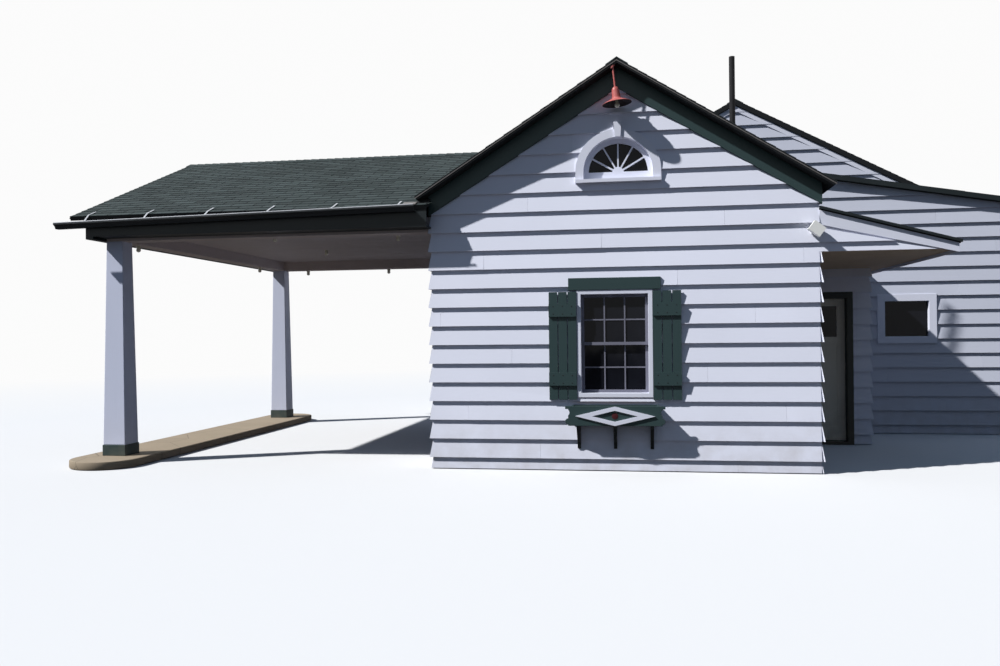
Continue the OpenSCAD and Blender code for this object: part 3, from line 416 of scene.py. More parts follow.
def shingled(name, tint):
    """Mineral granules in mixed greens and greys, with darker and paler tabs."""
    f = Finish(name)
    grain = f.noise(420, detail=2, roughness=0.8)
    speck = f.cells(260, output="Color")
    streak = f.noise(0.9, (1, 1, 0.35), detail=5)
    tone = 0.68 + 0.42 * f.shade() + 0.55 * (grain - 0.5) + 0.3 * (streak - 0.5)
    base = f.blend(0.1, f.tone(tint, tone), speck, kind="OVERLAY")
    return f.surface(base, 0.93, grain, depth=0.0003, Specular_IOR_Level=0.1)


def rolled(name, tint):
    """Roll roofing: fine granules, scuffs and dried puddles."""
    f = Finish(name)
    grain = f.noise(380, detail=2, roughness=0.8)
    puddle = f.band(f.noise(1.4, detail=6), 0.45, 0.62)
    tone = 0.85 + 0.15 * f.shade() + 0.5 * (grain - 0.5) + 0.18 * puddle
    return f.surface(f.tone(tint, tone), 0.9 - 0.1 * puddle, grain, depth=0.0003,
                     Specular_IOR_Level=0.1)


def cast(name, tint):
    """Worn concrete: sand, pits, stains and hairline cracks."""
    f = Finish(name)
    sand = f.noise(160, detail=3, roughness=0.75)
    stain = f.noise(1.7, detail=7, roughness=0.6)
    pits = f.band(f.cells(48), 0.16, 0.06) * f.band(f.noise(9), 0.5, 0.6)
    crack = f.band(f.cells(0.9, feature="DISTANCE_TO_EDGE"), 0.006, 0.001)
    tone = 0.9 + 0.3 * (stain - 0.5) + 0.25 * (sand - 0.5) - 0.3 * pits - 0.4 * crack
    return f.surface(f.tone(tint, tone), 0.85, sand * 0.15 - pits - crack, depth=0.0015)


def sheet_metal(name, tint, metallic=0.0, gloss=0.42):
    """Painted or bare sheet metal, dulled in patches and streaked by rain."""
    f = Finish(name)
    dull = f.noise(6, detail=6)
    streak = f.noise(9, (6, 6, 0.5), detail=4)
    spots = f.band(f.noise(55, detail=5, roughness=0.7), 0.68, 0.74)
    base = f.tone(tint, 0.92 + 0.22 * (dull - 0.5) + 0.16 * (streak - 0.5) - 0.25 * spots)
    return f.surface(base, gloss + 0.3 * (dull - 0.5) + 0.2 * spots, dull, depth=0.0006,
                     Metallic=metallic, Specular_IOR_Level=0.3)


def enamelled(name, tint):
    """Sun-bleached enamel: chalky on top and chipped to rust, with painted shade, near black, on the faces
    that look down inside the lampshade.
    """
    f, hues = Finish(name), sizes("colours")
    chalk = f.band(f.noise(14, detail=5), 0.35, 0.7)
    chips = f.band(f.noise(85, detail=5, roughness=0.7), 0.69, 0.72)
    normal = f.node("ShaderNodeNewGeometry", output="Normal")
    # Faces that look down get the painted shade inside the lampshade.
    below = f.band(f.node("ShaderNodeSeparateXYZ", {0: normal}, output="Z"), -0.1, -0.3)
    base = f.blend(chalk * 0.35, tint, hues.chalk)
    base = f.blend(chips, base, hues.rust)
    base = f.blend(below, base, hues.soot)
    return f.surface(base, 0.35 + 0.3 * chalk, 1 - chips, depth=0.0005, Specular_IOR_Level=0.3)


def glazed(name, tint):
    """Old drawn glass, painted near black for the shade of the unlit room behind it."""
    f = Finish(name)
    wave = f.noise(5, (1, 1, 0.4), detail=1)
    haze = f.noise(2.2, detail=6)
    base = f.blend(f.band(haze, 0.4, 0.8) * 0.2, tint, sizes("colours").haze)
    return f.surface(base, 0.05 + 0.06 * haze, wave, depth=0.004, Specular_IOR_Level=0.12)


def frosted(name, tint):
    """Frosted glass of the bulbs, slightly uneven."""
    f = Finish(name)
    haze = f.noise(60, detail=3)
    return f.surface(f.tone(tint, 0.9 + 0.2 * haze), 0.22 + 0.1 * haze)


def brass(name, tint):
    """Handled brass, brown where hands don't reach."""
    f = Finish(name)
    tarnish = f.band(f.noise(45, detail=6), 0.42, 0.62)
    base = f.blend(tarnish * 0.6, tint, sizes("colours").tarnish)
    return f.surface(base, 0.25 + 0.25 * tarnish, tarnish, depth=0.0003, Metallic=1.0)


def earth(name, tint):
    """Potting soil with dry clods."""
    f = Finish(name)
    clod = f.noise(70, detail=6, roughness=0.7)
    base = f.blend(clod, tint, sizes("colours").clod)
    return f.surface(base, 0.95, clod, depth=0.006)


# Each finish: what makes it, its colour, and where it differs from the maker's own settings.
RECIPES = {
    "white_paint": (painted, "white", {"flaked": 0.035}),
    "white_trim": (painted, "white", {"along": UPRIGHT, "flaked": 0.04, "dusty": 0.5}),
    "back_paint": (painted, "back", {"flaked": 0.035}),
    "post_paint": (painted, "post", {"along": UPRIGHT, "flaked": 0.03, "dusty": 0.15}),
    "beam_paint": (painted, "beam", {"along": EVEN, "gloss": 0.6, "flaked": 0.03}),
    "sash_paint": (painted, "sash", {"along": EVEN, "gloss": 0.6, "flaked": 0.05, "dusty": 0.0}),
    "door_paint": (painted, "door", {"along": UPRIGHT, "gloss": 0.45, "flaked": 0.03, "dusty": 0.6}),
    "ceiling_paint": (painted, "ceiling", {"along": OVERHEAD, "gloss": 0.6, "flaked": 0.06}),
    "porch_boards": (painted, "porch", {"along": OVERHEAD, "gloss": 0.6, "flaked": 0.04}),
    "green_paint": (painted, "green", {"gloss": 0.42, "dusty": 0.1}),
    "green_upright": (painted, "green", {"along": UPRIGHT, "gloss": 0.42, "dusty": 0.1}),
    "dark_paint": (painted, "dark", {"along": EVEN, "gloss": 0.45, "flaked": 0.0, "dusty": 0.1}),
    "roof_edge": (painted, "edge", {"along": EVEN, "gloss": 0.85, "flaked": 0.0, "dusty": 0.0}),
    "plinth_paint": (painted, "plinth", {"along": EVEN, "flaked": 0.06, "dusty": 0.25}),
    "button_paint": (painted, "button", {"along": EVEN, "flaked": 0.0}),
    "lamp_housing": (painted, "housing", {"along": EVEN, "gloss": 0.4, "flaked": 0.0}),
    "dark_metal": (sheet_metal, "metal", {}),
    "pipe_black": (sheet_metal, "pipe", {"gloss": 0.75}),
    "zinc": (sheet_metal, "zinc", {"gloss": 0.5}),
    "strap_metal": (sheet_metal, "strap", {"gloss": 0.6}),
    "hinge_steel": (sheet_metal, "steel", {"metallic": 1.0, "gloss": 0.35}),
    "knob_brass": (brass, "brass", {}),
    "shingle": (shingled, "shingle", {}),
    "roll_roofing": (rolled, "roll", {}),
    "concrete": (cast, "concrete", {}),
    "lamp_enamel": (enamelled, "enamel", {}),
    "bulb_glass": (frosted, "bulb", {}),
    "dark_glass": (glazed, "glass", {}),
    "soil": (earth, "soil", {}),
}


@cache
def finish(name):
    """The finish of that name, made the first time it is asked for."""
    make, hue, settings = RECIPES[name]
    return make(name, getattr(sizes("colours"), hue), **settings)


def coat(obj, name):
    """Covers every face of an object with one finish."""
    obj.data.materials.clear()
    obj.data.materials.append(finish(name))
    return obj


def survey():
    """Places that the boards and roofing start from. NAME_at gives a roof's height and under_NAME where
    a wall's boards stop below it."""
    low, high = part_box("front_wall")
    roofs = sizes("roofs")
    s = SimpleNamespace(left=low.x, right=high.x, front=low.y)
    s.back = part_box("cross_wall")[0].y
    s.door_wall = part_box("door_wall_head")[0].y
    s.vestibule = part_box("vestibule_wall")[1].x
    s.wing_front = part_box("wing_front_wall")[0].y
    s.wing_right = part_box("wing_right_wall")[1].x
    s.rear_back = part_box("rear_back_wall")[1].y
    s.side_windows = (s.front + s.back) / 2, (s.back + s.rear_back) / 2
    s.gable_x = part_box("canopy_gable")[0].x
    low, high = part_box("roof_left")
    s.eave_x, s.rake_y, s.office_ridge = low.x, low.y, high.z
    low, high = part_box("canopy_roof_front")
    s.verge_x, s.canopy_eave, s.canopy_mid, s.canopy_ridge = low.x, low.y, high.y, high.z
    s.far_eave = 2 * s.canopy_mid - s.canopy_eave
    low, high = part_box("rear_roof_left")
    s.rear_rake, s.rear_end, s.rear_mid, s.rear_ridge = low.y, high.y, high.x, high.z
    s.break_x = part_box("rear_roof_right")[1].x
    low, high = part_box("wing_roof")
    s.wing_tip, s.wing_edge, s.wing_top = high.x, low.y, high.z
    low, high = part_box("porch_roof")
    s.porch_tip, s.porch_top, s.porch_edge = high.x, high.z, low.y
    s.porch_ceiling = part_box("porch_ceiling")[0].z
    s.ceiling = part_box("canopy_ceiling")[0].z
    s.fall = {name: math.tan(getattr(roofs, name))
              for name in ("office", "canopy", "porch", "rear", "wing")}
    s.office_at = lambda x: s.office_ridge - s.fall["office"] * abs(x)
    s.rear_at = lambda x: s.rear_ridge - s.fall["rear"] * abs(x - s.rear_mid)
    s.wing_at = lambda x: s.wing_top - s.fall["wing"] * (x - s.right)
    s.porch_at = lambda x: s.porch_top - s.fall["porch"] * (x - s.right)
    s.canopy_at = lambda y: s.canopy_ridge - s.fall["canopy"] * abs(y - s.canopy_mid)
    s.under_rear = lambda x: s.rear_at(x) - roofs.slab / math.cos(roofs.rear) - CLEAR
    s.under_wing = lambda x: s.wing_at(x) - roofs.slab / math.cos(roofs.wing) - CLEAR
    s.under_canopy = lambda y: s.canopy_at(y) - roofs.canopy_slab / math.cos(roofs.canopy) - CLEAR
    return s


def facing(origin, turn, pitch=90.0):
    """The plane of a wall or slope: its own X runs level, Z runs up it and -Y points out of it.
    A turn of 0 faces the front, 90 the right, 180 the back and -90 the left."""
    return (Matrix.Translation(origin) @ Matrix.Rotation(math.radians(turn), 4, "Z")
            @ Matrix.Rotation(math.radians(pitch - 90), 4, "X"))


def new_object(name, mesh):
    obj = bpy.data.objects.new(name, mesh)
    bpy.context.scene.collection.objects.link(obj)
    return obj


def from_bmesh(name, shape):
    bmesh.ops.recalc_face_normals(shape, faces=shape.faces)
    mesh = bpy.data.meshes.new(name)
    shape.to_mesh(mesh)
    shape.free()
    return new_object(name, mesh)


def add_prism(shape, outline, y0, y1, far=None):
    """A closed solid whose section in X and Z is the outline at y0 and far, or the same, at y1."""
    near_loop = [shape.verts.new((x, y0, z)) for x, z in outline]
    far_loop = [shape.verts.new((x, y1, z)) for x, z in far or outline]
    shape.faces.new(near_loop)
    shape.faces.new(far_loop[::-1])
    for i, vertex in enumerate(near_loop):
        j = (i + 1) % len(near_loop)
        shape.faces.new((vertex, far_loop[i], far_loop[j], near_loop[j]))


def prisms(name, outlines, y0, y1, far=None):
    shape = bmesh.new()
    for near_outline, far_outline in zip(outlines, far or outlines):
        add_prism(shape, near_outline, y0, y1, far_outline)
    bmesh.ops.triangulate(shape, faces=[f for f in shape.faces if len(f.verts) > 4],
                          ngon_method="EAR_CLIP")
    return from_bmesh(name, shape)


def rod(name, start, end, radius, sides=10):
    """A round bar between two points, closed at both ends."""
    along = Vector(end) - Vector(start)
    middle = (Vector(start) + Vector(end)) / 2
    shape = bmesh.new()
    bmesh.ops.create_cone(shape, cap_ends=True, segments=sides, radius1=radius, radius2=radius,
                          depth=along.length, matrix=Matrix.Translation(middle)
                          @ along.to_track_quat("Z", "Y").to_matrix().to_4x4())
    return from_bmesh(name, shape)


def turned(name, profile, centre, sides=24):
    """A button turned round an axis along -Y, from (radius, height) pairs that end on the axis."""
    shape = bmesh.new()
    rings = [[shape.verts.new((radius * math.cos(2 * math.pi * i / sides), -height,
                               radius * math.sin(2 * math.pi * i / sides))) for i in range(sides)]
             for radius, height in profile[:-1]]
    tip = shape.verts.new((0, -profile[-1][1], 0))
    shape.faces.new(rings[0])
    for lower, upper in zip(rings, rings[1:]):
        for i in range(sides):
            shape.faces.new((lower[i], lower[i - 1], upper[i - 1], upper[i]))
    for i in range(sides):
        shape.faces.new((rings[-1][i], rings[-1][i - 1], tip))
    bmesh.ops.translate(shape, verts=shape.verts, vec=centre)
    return from_bmesh(name, shape)


def rectangle(x0, z0, x1, z1):
    return [(x0, z0), (x1, z0), (x1, z1), (x0, z1)]


def upright(middle, width, z0, z1):
    """A rectangle round an upright middle line, as of a window."""
    return rectangle(middle - width / 2, z0, middle + width / 2, z1)


def bands(line, lower, upper=0.0):
    """The outlines of a strip that follows a line, between two depths below it."""
    return [[(xa, za - lower), (xb, zb - lower), (xb, zb - upper), (xa, za - upper)]
            for (xa, za), (xb, zb) in zip(line, line[1:])]


def settle(obj, body, finish_name=None, matrix=None):
    """Puts a finished mesh in place in its own vertices, gives it its finish and hangs it under its body's
    empty.
    """
    if matrix is not None:
        obj.data.transform(matrix)
    if finish_name:
        coat(obj, finish_name)
    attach(obj, body)
    return obj


def discard(*objects):
    for obj in objects:
        data = obj.data
        bpy.data.objects.remove(obj)
        if data and not data.users:
            bpy.data.meshes.remove(data)


class Pattern(Graph):
    """A geometry node tree with named inputs, which grows one plain mesh at a time."""

    def __init__(self, name, inputs):
        super().__init__(bpy.data.node_groups.new(name, "GeometryNodeTree"))
        face = self.tree.interface
        face.new_socket("Geometry", in_out="OUTPUT", socket_type="NodeSocketGeometry")
        kinds = {**inputs, "Material": "Material"}
        self.keys = {
            label: face.new_socket(label, in_out="INPUT", socket_type="NodeSocket" + kind).identifier
            for label, kind in kinds.items()}
        self.group = self.tree.nodes.new("NodeGroupInput")

    def value(self, label):
        return Wire(self, self.group.outputs[label])

    def vector(self, x=0.0, y=0.0, z=0.0):
        return self.node("ShaderNodeCombineXYZ", {0: x, 1: y, 2: z})

    def between(self, low, high, seed):
        return self.node("FunctionNodeRandomValue", {2: low, 3: high, 8: seed}, output=1,
                         data_type="FLOAT")

    def marked(self, instances, seed):
        """The instances, each with its own shade from 0 to 1."""
        return self.node("GeometryNodeStoreNamedAttribute", {
            "Geometry": instances, "Name": "shade", "Value": self.between(0.0, 1.0, seed + 1)},
            data_type="FLOAT", domain="INSTANCE")

    def end(self, geometry):
        """Covers the finished geometry with the material and hands it out."""
        covered = self.node("GeometryNodeSetMaterial",
                            {"Geometry": geometry, "Material": self.value("Material")})
        out = self.tree.nodes.new("NodeGroupOutput")
        self.tree.links.new(covered.socket, out.inputs[0])

    def grow(self, name, **values):
        """A plain mesh object from the tree, with these values for its inputs."""
        obj = new_object(name, bpy.data.meshes.new(name))
        modifier = obj.modifiers.new(name, "NODES")
        modifier.node_group = self.tree
        for label, value in values.items():
            modifier[self.keys[label]] = value
        evaluated = obj.evaluated_get(bpy.context.evaluated_depsgraph_get())
        mesh = bpy.data.meshes.new_from_object(evaluated)
        obj.modifiers.clear()
        old, obj.data = obj.data, mesh
        bpy.data.meshes.remove(old)
        mesh.name = name
        if not len(mesh.polygons):
            raise RuntimeError(f"{name} came out empty")
        return obj


@cache
def course_pattern():
    """Courses of lapped boards or tabs that fill an area and leave its openings free."""
    p = Pattern("Lapped courses", {
        "Rows": "Int", "Columns": "Int", "Start": "Float", "Foot": "Float", "Pitch": "Float",
        "Joint": "Float", "Exposure": "Float", "Seam": "Float", "Butt": "Float", "Tip": "Float",
        "Stagger": "Float", "Uneven": "Float", "Seed": "Int", "Area": "Object", "Openings": "Object"})
    index = p.node("GeometryNodeInputIndex")
    row = (index / p.value("Columns")).floor()
    column = index - row * p.value("Columns")
    x = p.value("Start") + (column + (row * p.value("Stagger")).fraction() - 1) * p.value("Pitch")
    z = p.value("Foot") + row * p.value("Exposure")
    points = p.node("GeometryNodeMeshLine", {"Count": p.value("Rows") * p.value("Columns"),
                                             "Offset": (0, 0, 0)})
    points = p.node("GeometryNodeSetPosition", {"Geometry": points, "Position": p.vector(x, 0.0, z)})
    height = p.value("Exposure") - p.value("Seam")
    width = p.value("Pitch") - p.value("Joint")
    block = p.node("GeometryNodeMeshCube", {"Size": (1, 1, 1)})
    spot = p.node("GeometryNodeInputPosition")
    corner = {axis: p.node("ShaderNodeSeparateXYZ", {0: spot}, output=axis) for axis in "XYZ"}
    share = corner["Z"] + 0.5
    thick = p.value("Butt") + (p.value("Tip") - p.value("Butt")) * share
    board = p.node("GeometryNodeSetPosition", {"Geometry": block, "Position": p.vector(
        (corner["X"] + 0.5) * width, (corner["Y"] - 0.5) * thick + 2 * BACK, share * height)})
    uneven = p.between(1 - p.value("Uneven"), 1 + p.value("Uneven"), p.value("Seed"))
    stretch = p.vector(1.0, uneven, 1.0)
    rows = p.node("GeometryNodeInstanceOnPoints", {"Points": points, "Instance": board, "Scale": stretch})
    rows = p.node("GeometryNodeRealizeInstances", {"Geometry": p.marked(rows, p.value("Seed"))})
    area = p.node("GeometryNodeObjectInfo", {"Object": p.value("Area")}, output="Geometry")
    cut = p.node("GeometryNodeObjectInfo", {"Object": p.value("Openings")}, output="Geometry")
    rows = p.node("GeometryNodeMeshBoolean", {"Mesh 2": [rows, area]}, operation="INTERSECT",
                  solver="MANIFOLD")
    rows = p.node("GeometryNodeMeshBoolean", {"Mesh 1": rows, "Mesh 2": cut}, operation="DIFFERENCE",
                  solver="MANIFOLD")
    p.end(rows)
    return p


@cache
def row_pattern():
    """One piece repeated along a straight line, each a little uneven."""
    p = Pattern("Row of pieces", {"Piece": "Object", "Count": "Int", "Start": "Vector", "Step": "Vector",
                                  "Uneven": "Float", "Seed": "Int"})
    line = p.node("GeometryNodeMeshLine", {"Count": p.value("Count"), "Start Location": p.value("Start"),
                                           "Offset": p.value("Step")})
    piece = p.node("GeometryNodeObjectInfo", {"Object": p.value("Piece")}, output="Geometry")
    size = p.between(1 - p.value("Uneven"), 1 + p.value("Uneven"), p.value("Seed"))
    row = p.node("GeometryNodeInstanceOnPoints", {"Points": line, "Instance": piece,
                                                  "Scale": p.vector(size, size, size)})
    p.end(p.node("GeometryNodeRealizeInstances", {"Geometry": p.marked(row, p.value("Seed"))}))
    return p


@cache
def bar_pattern():
    """Window bars that divide one sash into equal panes."""
    p = Pattern("Window bars", {"Width": "Float", "Height": "Float", "Columns": "Int", "Rows": "Int",
                                "Bar": "Float", "Depth": "Float"})
    across = p.value("Width") / p.value("Columns")
    up = p.value("Height") / p.value("Rows")
    posts = p.node("GeometryNodeMeshLine", {
        "Count": p.value("Columns") - 1, "Start Location": p.vector(across - p.value("Width") / 2),
        "Offset": p.vector(across)})
    rails = p.node("GeometryNodeMeshLine", {
        "Count": p.value("Rows") - 1, "Start Location": p.vector(z=up - p.value("Height") / 2),
        "Offset": p.vector(z=up)})
    post = p.node("GeometryNodeMeshCube", {
        "Size": p.vector(p.value("Bar"), p.value("Depth"), p.value("Height"))})
    rail = p.node("GeometryNodeMeshCube", {
        "Size": p.vector(p.value("Width"), p.value("Depth") * 0.8, p.value("Bar"))})
    both = p.node("GeometryNodeJoinGeometry", {"Geometry": [
        p.node("GeometryNodeInstanceOnPoints", {"Points": posts, "Instance": post}),
        p.node("GeometryNodeInstanceOnPoints", {"Points": rails, "Instance": rail})]})
    p.end(p.node("GeometryNodeRealizeInstances", {"Geometry": both}))
    return p


def lay_courses(name, outlines, openings, finish_name, *, exposure, pitch, joint, butt, tip,
                stagger, foot, seam=0.0004, uneven=0.04, seed=3, far=None, reach=0.08):
    """Boards or tabs over the outlines, in the plane's own X and Z, standing out along -Y. They start
    a hand's breadth to the left. Without openings, an empty one lies well away from the boards."""
    points = [point for outline in outlines for point in outline]
    start, end = min(x for x, z in points), max(x for x, z in points)
    top = max(z for x, z in points)
    area = prisms(name + "_area", outlines, BACK, -reach, far)
    holes = prisms(name + "_holes", openings or [rectangle(start - 2, -3, start - 1, -2)], 0.2, -0.2)
    obj = course_pattern().grow(
        name, Rows=math.ceil((top - foot) / exposure), Columns=math.ceil((end - start) / pitch) + 2,
        Start=start - 0.1, Foot=foot, Pitch=pitch, Joint=joint, Exposure=exposure, Seam=seam,
        Butt=butt, Tip=tip, Stagger=stagger, Uneven=uneven, Seed=seed, Area=area, Openings=holes,
        Material=finish(finish_name))
    discard(area, holes)
    return obj


def clapboards(name, plane, outlines, openings=(), mitres=(), seed=3, paint="white_paint"):
    """Clapboards on one wall. A mitre at "left" or "right" runs the boards on round that corner, by as
    much as they may stand proud."""
    b = sizes("boards")
    foot = b.first_butt - b.exposure * math.ceil(b.first_butt / b.exposure)
    reach = 0.06
    every = [x for outline in outlines for x, z in outline]
    corners = {"left": min(every), "right": max(every)}
    shifts = {round(corners[side], 4): reach if side == "right" else -reach for side in mitres}
    far = [[(x + shifts.get(round(x, 4), 0), z) for x, z in outline] for outline in outlines]
    obj = lay_courses(name, outlines, openings, paint, exposure=b.exposure, pitch=b.run,
                      joint=b.joint, butt=b.butt, tip=b.tip, stagger=STAGGER, foot=foot, uneven=0.05,
                      seed=seed, far=far, reach=reach)
    return settle(obj, BUILDING, matrix=plane)


def shingles(name, plane, outline, seed):
    """Tabs on one slope, in rows that break joint by half a tab."""
    k = sizes("shingles")
    obj = lay_courses(name, [outline], [], "shingle", exposure=k.exposure, pitch=k.tab, joint=k.slot,
                      butt=k.butt, tip=k.tip, stagger=0.5, foot=0.0, uneven=0.12, seed=k.seed + seed)
    return settle(obj, BUILDING, matrix=plane)


class StationOperator:
    """What all operators share."""

    bl_options = {"REGISTER", "UNDO"}


class STATION_OT_stage(StationOperator, bpy.types.Operator):
    """Floor, backdrop, light and camera"""

    bl_idname = "station.stage"
    bl_label = "Stage"

    def execute(self, context):
        s = sizes("stage")
        shape = bmesh.new()
        bmesh.ops.create_circle(shape, cap_ends=True, segments=64, radius=s.floor_r * 3)
        floor = from_bmesh("floor", shape)
        floor.data.transform(Matrix.Translation((0, 0, -s.floor_drop)))
        floor.data.materials.append(self.floor_finish(s))
        self.light(context, s)
        self.sky(context, s)
        camera = bpy.data.objects.new("camera", bpy.data.cameras.new("camera"))
        camera.data.lens, camera.data.sensor_width = s.lens, SENSOR
        camera.matrix_world = (Matrix.Translation(s.eye) @ Matrix.Rotation(s.turn, 4, "Z")
                               @ Matrix.Rotation(math.pi / 2 + s.tilt, 4, "X")
                               @ Matrix.Rotation(s.roll, 4, "Z"))
        context.scene.collection.objects.link(camera)
        context.scene.camera = camera
        context.scene.view_settings.view_transform = "Standard"
        return {"FINISHED"}

    def floor_finish(self, s):
        """Pale floor that keeps the shadow near the building and fades into the backdrop."""
        f = Finish("floor")
        reach = f.node("ShaderNodeVectorMath", {0: f.place()}, output="Value", operation="LENGTH")
        seen = f.node("ShaderNodeLightPath", output="Is Camera Ray")
        pale = f.node("ShaderNodeBsdfDiffuse", {"Color": f.blend(seen, s.bounce, s.floor)})
        glow = f.node("ShaderNodeEmission", {"Color": (s.backdrop,) * 3})
        mixed = f.node("ShaderNodeMixShader", {0: f.band(reach, s.floor_r * s.fade, s.floor_r) * seen,
                                               1: pale, 2: glow})
        f.node("ShaderNodeOutputMaterial", {"Surface": mixed})
        return f.material

    def light(self, context, s):
        sun = bpy.data.objects.new("main_light", bpy.data.lights.new("main_light", "SUN"))
        sun.data.energy, sun.data.angle = s.sun_power, s.sun_size
        sun.matrix_world = Vector(s.sun).to_track_quat("-Z", "Y").to_matrix().to_4x4()
        context.scene.collection.objects.link(sun)

    def sky(self, context, s):
        world = bpy.data.worlds.new("sky")
        context.scene.world = world
        world.use_nodes = True
        world.node_tree.nodes.clear()
        g = Graph(world.node_tree)
        seen = [g.node("ShaderNodeLightPath", output=name)
                for name in ("Is Camera Ray", "Is Glossy Ray", "Is Transmission Ray")]
        total = seen[0] + seen[1] + seen[2]
        lit = g.node("ShaderNodeBackground", {"Color": s.sky, "Strength": s.sky_power})
        plain = g.node("ShaderNodeBackground", {"Color": (1, 1, 1), "Strength": s.backdrop})
        both = g.node("ShaderNodeMixShader", {0: total.math("MINIMUM", total, 1.0), 1: lit, 2: plain})
        g.node("ShaderNodeOutputWorld", {"Surface": both})


# Pieces whose finish isn't the plain one of their material slot.
NODE_FINISHES = {
    "white_trim": ("window_casings", "small_casings"),
    "post_paint": ("canopy_posts",),
    "beam_paint": ("beam_front", "beam_back", "beam_outer"),
    "sash_paint": ("window_sashes",),
    "green_upright": ("shutters",),
    "pipe_black": ("vent_pipe",),
    "roof_edge": ("roof_left", "roof_right", "canopy_roof_front", "canopy_roof_back", "porch_roof",
                  "rear_roof_left", "rear_roof_right"),
}


class STATION_OT_finishes(StationOperator, bpy.types.Operator):
    """Paint, metal, glass and concrete on the pieces of the frame"""

    bl_idname = "station.finishes"
    bl_label = "Finishes"

    def execute(self, context):
        chosen = {node: name for name, nodes in NODE_FINISHES.items() for node in nodes}
        for part in frame["record"]["subparts"]:
            node = part["node"]
            coat(frame["nodes"][node], chosen.get(node, part["material_slot"]))
        return {"FINISHED"}


# Pieces with eased edges, and how much wider than the usual the rounding is.
EASED = {"canopy_posts": 1.5, "post_plinths": 1.5, "pump_island": 4.0, "window_casings": 0.7,
         "small_casings": 0.7, "window_head": 1.0, "flower_box": 0.8, "fan_casing": 1.0,
         "door_frame": 0.7, "beam_front": 1.0, "beam_back": 1.0, "beam_outer": 1.0, "frieze_boards": 1.0}


class STATION_OT_eased_edges(StationOperator, bpy.types.Operator):
    """Posts, casings and other sawn pieces with their edges eased"""

    bl_idname = "station.eased_edges"
    bl_label = "Eased edges"

    def execute(self, context):
        ease = sizes("trim").ease
        slots = {part["node"]: part["material_slot"] for part in frame["record"]["subparts"]}
        for node, share in EASED.items():
            self.soften(node, slots[node], ease * share)
        return {"FINISHED"}

    def soften(self, node, slot, width):
        source = frame["nodes"][node]
        shape = bmesh.new()
        shape.from_mesh(source.data)
        bmesh.ops.remove_doubles(shape, verts=shape.verts, dist=WELD)
        bmesh.ops.dissolve_limit(shape, angle_limit=FLAT, verts=shape.verts, edges=shape.edges)
        mesh = bpy.data.meshes.new(node + "_eased")
        shape.to_mesh(mesh)
        shape.free()
        obj = new_object(node + "_eased", mesh)
        modifier = obj.modifiers.new("ease", "BEVEL")
        modifier.width, modifier.segments = width, 2
        modifier.limit_method, modifier.angle_limit = "ANGLE", SHARP
        modifier.use_clamp_overlap = True
        evaluated = obj.evaluated_get(bpy.context.evaluated_depsgraph_get())
        obj.data = bpy.data.meshes.new_from_object(evaluated)
        obj.modifiers.clear()
        bpy.data.meshes.remove(mesh)
        settle(obj, BUILDING, source.data.materials[0].name.removeprefix(MATERIAL_PREFIX))
        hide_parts(node)


